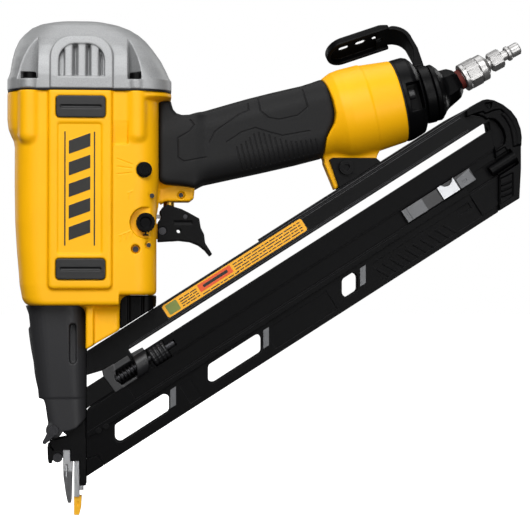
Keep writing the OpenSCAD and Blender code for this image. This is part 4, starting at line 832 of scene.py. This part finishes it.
def magazine_grid(lo, hi, step):
    """A grid with its coordinates along, across and up the magazine, and the distance from the adjuster's axis."""
    g = Grid(lo, hi, step)
    s, t = in_magazine(g.x, g.z)
    return g, s, g.y, t, np.hypot(g.y - ADJUSTER_AT[0], t - ADJUSTER_AT[1])


def adjuster_form():
    """The depth adjuster's moulded frame: a flat leg and an arched bridge over the rod."""
    g, s, y, t, radius = magazine_grid((14, -16.6, 68), (44, -9, 102), 0.25)
    leg = smax(outline(s, t, [(57.4, 61), (58.6, 64.2), (66.4, 64), (64.4, 58), (63, 54), (64.4, 48.8),
                              (58.2, 48.8)]),
               between(y, -11, -10.02), 0.3)
    arch = outline(s, t, [(78.2, 63.6), (86, 63), (86.2, 59.5), (85.2, 55.5), (83.4, 51.6), (81, 48.8),
                          (73.6, 48.8), (75.6, 52), (77, 56), (77.8, 60)])
    rod_y, rod_t = ADJUSTER_AT
    hump = np.maximum(np.sqrt(np.maximum(6.6 ** 2 - (t - rod_t) ** 2, 0)) - rod_y, 11)
    bridge = smax(arch, np.maximum((-y - hump) * 0.7, y + 10.02), 0.6)
    f = smin(leg, bridge, 0.2)
    f = smin(f, np.maximum(np.maximum(between(s, 63, 76), between(y, -10.9, -10.02)),
                           np.minimum(between(t, 48.8, 50.4), between(t, 60, 63.6))), 0.4)
    f = smax(f, -np.maximum(radius - ROD_BORE, 62.5 - s), 0.2)
    return skin(g, f, "adjuster_form")


def adjuster_block():
    """The dark block in front of the adjuster, with its T-shaped slot."""
    g, s, y, t, _ = magazine_grid((5, -11, 63), (28, -6.6, 88), 0.25)
    f = smax(rounded(s, t, 50.8, 55.45, 11.8, 5.35, 0.5), between(y, -10.3, -7.2), 0.4)
    slots = np.minimum(np.maximum(between(s, 40, 50.5), between(t, 54, 55.4)),
                       np.maximum(between(s, 50, 53), between(t, 50, 59.4)))
    f = smax(f, -np.maximum(slots, -9.3 - y), 0.3)
    f = smax(f, 5.8 - g.x, 0.2)
    return skin(g, f, "adjuster_block")


def wheel_form():
    """The thumbwheel, with four round ribs and a faint fluting."""
    start, end, ribs, flutes = 87, 97.6, 4, 18
    g, s, y, t, radius = magazine_grid((39.4, -15.4, 87), (57, -2.2, 105), 0.2)
    angle = np.arctan2(y - ADJUSTER_AT[0], t - ADJUSTER_AT[1])
    rib = np.abs(np.sin(math.pi * (s - start) * ribs / (end - start)))
    reach = 5.1 + 0.75 * rib + 0.1 * np.cos(flutes * angle)
    f = smax(smax(radius - reach, between(s, start, end), 0.5), ROD_BORE - radius, 0.2)
    return skin(g, f, "wheel_form")


def cut_back(mesh, points):
    """Cuts a solid mesh along each stretch of a line of (x, z) points in mm, closes it and keeps what is below.

    The line runs to the right. One that runs to the left keeps what is above.
    """
    bm = bmesh.new()
    bm.from_mesh(mesh)
    bmesh.ops.remove_doubles(bm, verts=bm.verts, dist=1e-7)
    for (x0, z0), (x1, z1) in zip(points, points[1:]):
        out = Vector((z1 - z0, 0, x0 - x1)) * -1
        everything = bm.verts[:] + bm.edges[:] + bm.faces[:]
        made = bmesh.ops.bisect_plane(bm, geom=everything, plane_co=Vector((x0, 0, z0)) * MM,
                                      plane_no=out.normalized(), clear_outer=True, dist=1e-8)
        edges = [e for e in made["geom_cut"] if isinstance(e, bmesh.types.BMEdge) and e.is_boundary]
        bmesh.ops.edgenet_fill(bm, edges=edges)
    bmesh.ops.recalc_face_normals(bm, faces=bm.faces)
    bm.to_mesh(mesh)
    bm.free()
    return mesh


# ------------------------------------------ turned and flat pieces

def lathe(name, profile, start, direction, sides=64, flats=None):
    """Turns (place, radius) points round a line. flats gives the half width of each six-sided point."""
    to_line = Vector(direction).normalized().to_track_quat("X", "Z").to_matrix()
    verts, faces = [], []
    for i, (u, r) in enumerate(profile):
        for k in range(sides):
            a = 2 * math.pi * k / sides
            q = r
            if flats and i in flats:
                q = min(r, flats[i] / math.cos(((a + math.pi / 6) % (math.pi / 3)) - math.pi / 6))
            verts.append(Vector(start) + (to_line @ Vector((u, q * math.cos(a), q * math.sin(a)))) * MM)
    for i in range(len(profile) - 1):
        for k in range(sides):
            j = (k + 1) % sides
            faces.append((i * sides + k, i * sides + j, (i + 1) * sides + j, (i + 1) * sides + k))
    faces.append(tuple(range(sides))[::-1])
    faces.append(tuple(range((len(profile) - 1) * sides, len(profile) * sides)))
    mesh = bpy.data.meshes.new(name)
    mesh.from_pydata([tuple(v) for v in verts], [], faces)
    mesh.update()
    return mesh


def flat_shapes(name, shapes, place):
    """Thin plates from (outline points, low, high, material index), set by place(a, b, h) in mm."""
    bm = bmesh.new()
    for points, low, high, index in shapes:
        ends = [[bm.verts.new(Vector(place(a, b, h)) * MM) for a, b in points] for h in (low, high)]
        n = len(points)
        made = [bm.faces.new(ends[0]), bm.faces.new(ends[1][::-1])]
        for i in range(n):
            j = (i + 1) % n
            made.append(bm.faces.new([ends[1][i], ends[1][j], ends[0][j], ends[0][i]]))
        for face in made:
            face.material_index = index
    bmesh.ops.recalc_face_normals(bm, faces=bm.faces)
    mesh = bpy.data.meshes.new(name)
    bm.to_mesh(mesh)
    bm.free()
    return mesh


def crisp(o):
    """Keeps real edges sharp under smooth shading."""
    o.data.set_sharp_from_angle(angle=math.radians(25))


def rect(a0, a1, b0, b1):
    return [(a0, b0), (a1, b0), (a1, b1), (a0, b1)]


def round_corners(a0, a1, b0, b1, r, n=5):
    pts = []
    for ca, cb, start in ((a1 - r, b1 - r, 0), (a0 + r, b1 - r, 90), (a0 + r, b0 + r, 180),
                          (a1 - r, b0 + r, 270)):
        for i in range(n + 1):
            t = math.radians(start + 90 * i / n)
            pts.append((ca + r * math.cos(t), cb + r * math.sin(t)))
    return pts


def badges():
    """A yellow plate with slanted bars between two thin lines on each side."""
    shapes = []
    marks = [rect(x, x + 0.75, 158.5, 224) for x in (-6.2, 10.7)]
    marks += [[(-3.6, 161.5 + 12.4 * i), (8.7, 166 + 12.4 * i), (8.7, 173.6 + 12.4 * i),
               (-3.6, 169.1 + 12.4 * i)] for i in range(5)]
    for side in (-1, 1):
        shapes.append((round_corners(-9.6, 14.8, 154.2, 228.4, 1.2), side * 35.7, side * 35.98, 0))
        shapes += [(mark, side * 35.9, side * 36.12, 1) for mark in marks]
    return flat_shapes("badge_plates", shapes, lambda a, b, h: (a, h, b))


def label():
    """Printed film on both sides of the rail: blank panels and rows of short bars in place of words."""
    c, s = turn(MAGAZINE_LEAN)
    shapes = []
    for side in (-1, 1):
        y0, y1, y2 = side * 8.6, side * 9.22, side * 9.27
        shapes.append((round_corners(108.2, 206.2, 68.9, 77.1, 1.4), y0, y1, 0))
        shapes.append((round_corners(110, 117.6, 69.9, 76.3, 0.8, 3), y1, y2, 3))
        shapes.append((rect(132.6, 155.4, 71.6, 76.4), y1, y2, 2))
        rows = [(119.2, 131.2, r) for r in (70.2, 71.7, 73.2, 74.7)]
        rows += [(133, 158, r) for r in (69.7,)] + [(157.2, 204.2, r) for r in (70, 71.7, 73.4, 75.1)]
        for n, (a0, a1, b) in enumerate(rows):
            a, k = a0, n
            while a < a1 - 1:
                size = 1.6 + 1.1 * ((k * 7) % 5)
                shapes.append((rect(a, min(a + size, a1), b, b + 0.62), y1, y2, 1))
                a += size + 0.7
                k += 3
        shapes.append((rect(135.6, 152.6, 73.1, 74.9), y2, side * 9.3, 1))
    return flat_shapes("label_film", shapes, lambda a, b, h: (a * c - b * s, h, a * s + b * c))


def helix(name, radius, wire, s0, s1, turns, at, axis_dir):
    """A wound spring as a tube along a helix, with its end turns closed up."""
    n, m = int(turns * 28), 10
    x_dir = Vector(axis_dir).normalized()
    y_dir = Vector((0, 1, 0))
    z_dir = x_dir.cross(y_dir)
    centre = []
    for i in range(n + 1):
        t = i / n
        k = min(max((t - 0.06) / 0.88, 0), 1)
        a = 2 * math.pi * turns * t
        across = y_dir * radius * math.cos(a) + z_dir * radius * math.sin(a)
        centre.append(Vector(at) + (x_dir * (s0 + (s1 - s0) * k) + across) * MM)
    verts, faces = [], []
    for i, p in enumerate(centre):
        d = (centre[min(i + 1, n)] - centre[max(i - 1, 0)]).normalized()
        side = d.cross(x_dir).normalized()
        up = side.cross(d)
        for j in range(m):
            b = 2 * math.pi * j / m
            verts.append(tuple(p + (side * math.cos(b) + up * math.sin(b)) * wire * MM))
    for i in range(n):
        for j in range(m):
            k = (j + 1) % m
            faces.append((i * m + j, i * m + k, (i + 1) * m + k, (i + 1) * m + j))
    faces.append(tuple(range(m))[::-1])
    faces.append(tuple(range(n * m, n * m + m)))
    mesh = bpy.data.meshes.new(name)
    mesh.from_pydata(verts, [], faces)
    mesh.update()
    return mesh


# ------------------------------------------ housing, cap and grip

body_mesh = add("housing_barrel", relaxed(barrel(), 3), ["yellow"], "housing").data
add("housing_handle", relaxed(handle_end(), 3), ["yellow"], "housing")
# Raised nail marks for one nail and for a row, and the grooves of the blow-off mark.
marks = nail_icon(31.5, 188) + nail_icon(26.8, 163.5) + nail_icon(29.8, 164.6) + nail_icon(32.8, 165.7)
fan = [((23.9, 208.7), (32.6, 205.5)), ((24.1, 204.2), (32.3, 203.2)), ((24.3, 199.8), (32.3, 200.6))]
engrave(body_mesh, marks, 0.6, -0.25, sides=(-1,), min_y=30)
engrave(body_mesh, fan, 0.5, 0.35, sides=(-1,), min_y=30)

add("cap_skin", relaxed(cap(), 2), ["cast"], "top_cap")
grip_mesh = add("grip_skin", relaxed(grip(), 3), ["grip"], "handle_grip").data
engrave(grip_mesh, grip_lines, 0.55, 0.45, facing=0.2)
engrave(grip_mesh, grip_ribs, 0.5, 0.4, facing=0.15)

add("end_cap_form", relaxed(end_cap_form(), 2), ["black_metal"], "end_cap")
add("boss_form", relaxed(boss_form(), 1), ["black_metal"], "inlet_boss")
add("hook_form", relaxed(hook_form(), 2), ["black_metal"], "belt_hook")
add("rear_form", relaxed(rear_form(), 2), ["black_plastic"], "magazine_end_cap")
# The rail ends under the moulded arch, and its front lower corner is cut back.
rail_end = [(238.7, 244.9), (242.1, 246.7), (244.8, 247.2), (248.8, 246.6), (254.2, 244.1), (258.9, 240.5)]
rail_corner = [(21.97, 87.5), (6.36, 82.9)]
rail = cut_back(cut_back(nodes["magazine_rail"].data.copy(), rail_end), rail_corner)
add("rail_form", rail, ["rail"], "magazine_rail", smooth=False)

# ------------------------------------------ adjuster, screws, plates, springs and plug

handle_c, handle_s = turn(HANDLE_RISE)
inlet_c, inlet_s = turn(INLET_RISE)

add("adjuster_form", relaxed(adjuster_form(), 1), ["dark_grey"], "adjuster_frame")
add("adjuster_block", relaxed(adjuster_block(), 1), ["black_metal"], "adjuster_frame")
add("wheel_form", relaxed(wheel_form(), 1), ["dark_grey"], "depth_wheel")

end_screw = [(79.6, 1.5), (93.2, 1.5), (93.2, 3.0), (93.5, 3.2), (96.6, 3.2), (97.1, 2.8), (97.1, 1.5),
             (95.6, 1.4), (95.6, 0.01)]
for n, (across, up) in enumerate([(-20.6, 0.6), (20.6, 0.6), (0, 18.4), (0, -18.4)]):
    at = ((HANDLE_AT[0] - up * handle_s) * MM, across * MM, (HANDLE_AT[1] + up * handle_c) * MM)
    screw = lathe(f"end_screw_{n}", end_screw, at, (handle_c, 0, handle_s), 40)
    crisp(add(screw.name, screw, ["dark_grey"], "end_cap_screws"))

cap_screw = [(-8, 2.4), (0, 2.4), (0, 3.7), (0.3, 3.9), (3.5, 3.9), (3.9, 3.6), (3.9, 2.2), (2.6, 2.1),
             (2.6, 0.01)]
for i, (bx, _) in enumerate(bosses):
    for side, where in ((-1, "near"), (1, "far")):
        at = (bx * MM, side * SCREW_Y * MM, 0.2547)
        screw = lathe(f"cap_screw_{i}_{where}", cap_screw, at, (0, 0, 1), 48)
        crisp(add(screw.name, screw, ["black_metal"], "cap_screws"))

add("badge_plates", badges(), ["yellow", "ink"], "side_badges", smooth=False)
add("label_film", label(), ["label", "ink", "orange", "olive"], "rail_label", smooth=False)

rod_y, rod_t = ADJUSTER_AT
spring_at = (-rod_t * magazine_s * MM, rod_y * MM, rod_t * magazine_c * MM)
adjuster_coil = helix("adjuster_coil", 3.2, 0.62, 63.6, 75.8, 6, spring_at, (magazine_c, 0, magazine_s))
add("adjuster_coil", adjuster_coil, ["pin"], "adjuster_spring")

# The head valve's spring is wound between the valve's top and the cap's ceiling; the real spring shortens as the
# valve lifts.
WIRE = 0.9
coil_z = np.array([v.co.z for v in nodes["head_valve_spring"].data.vertices]) / MM
low, high = float(coil_z.min()), float(coil_z.max())
coil = helix("head_valve_coil", 22.6, WIRE, low + WIRE, high - WIRE, 5, (DRIVE_X * MM, 0, 0), (0, 0, 1))
coil = add("head_valve_coil", coil, ["steel"], "head_valve_spring")
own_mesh(coil)

# The air plug: a sleeve with a six-sided end, a small six-sided collar and the quarter-inch nose.
plug_profile = [
    (-10, 5), (1.6, 5), (1.6, 8.2), (1.9, 8.6), (3.9, 8.6), (4.2, 8.3), (4.21, 8.0), (4.8, 8.66),
    (12.0, 8.66), (12.6, 8.0), (12.61, 7.7), (12.9, 8.2), (16.4, 8.2), (16.8, 8.0), (19.2, 4.4), (19.3, 3.3),
    (21, 3.3), (21, 5.4), (21.6, 6.12), (28, 6.12), (28.6, 5.4), (28.6, 3.4), (29.2, 3.1), (32.4, 3.1),
    (32.4, 4.3), (32.8, 4.6), (34.2, 4.6), (34.6, 4.3), (34.6, 3.5), (35.4, 3.9), (40.6, 3.9), (41.2, 3.4),
    (41.2, 2.4), (30, 2.4), (30, 0.01),
]
hexes = {7: 7.5, 8: 7.5, 18: 5.3, 19: 5.3}
inlet_at = (INLET_AT[0] * MM, 0, INLET_AT[1] * MM)
plug = lathe("plug_body", plug_profile, inlet_at, (inlet_c, 0, inlet_s), 72, hexes)
crisp(add("plug_body", plug, ["plated"], "air_plug"))

# ------------------------------------------ other moulded and cast parts

for node, voxel, passes, material in [
    ("nose_shroud", 0.4, 7, "shroud"),
    ("trigger", 0.28, 6, "black_metal"),
    ("rear_guard", 0.35, 5, "black_plastic"),
    ("side_pads", 0.25, 6, "pad"),
    ("nose_tip", 0.2, 6, "steel"),
    ("no_mar_tip", 0.2, 5, "soft_tip"),
    ("latch_lever", 0.2, 5, "black_metal"),
    ("latch_bail", 0.2, 5, "pin"),
    ("pusher_latch", 0.2, 5, "steel"),
    ("magazine_bracket", 0.3, 5, "black_metal"),
    ("selector_knob", 0.22, 4, "black_plastic"),
    ("nose_block", 0.3, 5, "black_metal"),
]:
    add(node + "_skin", remeshed(node, voxel, passes), [material], node)
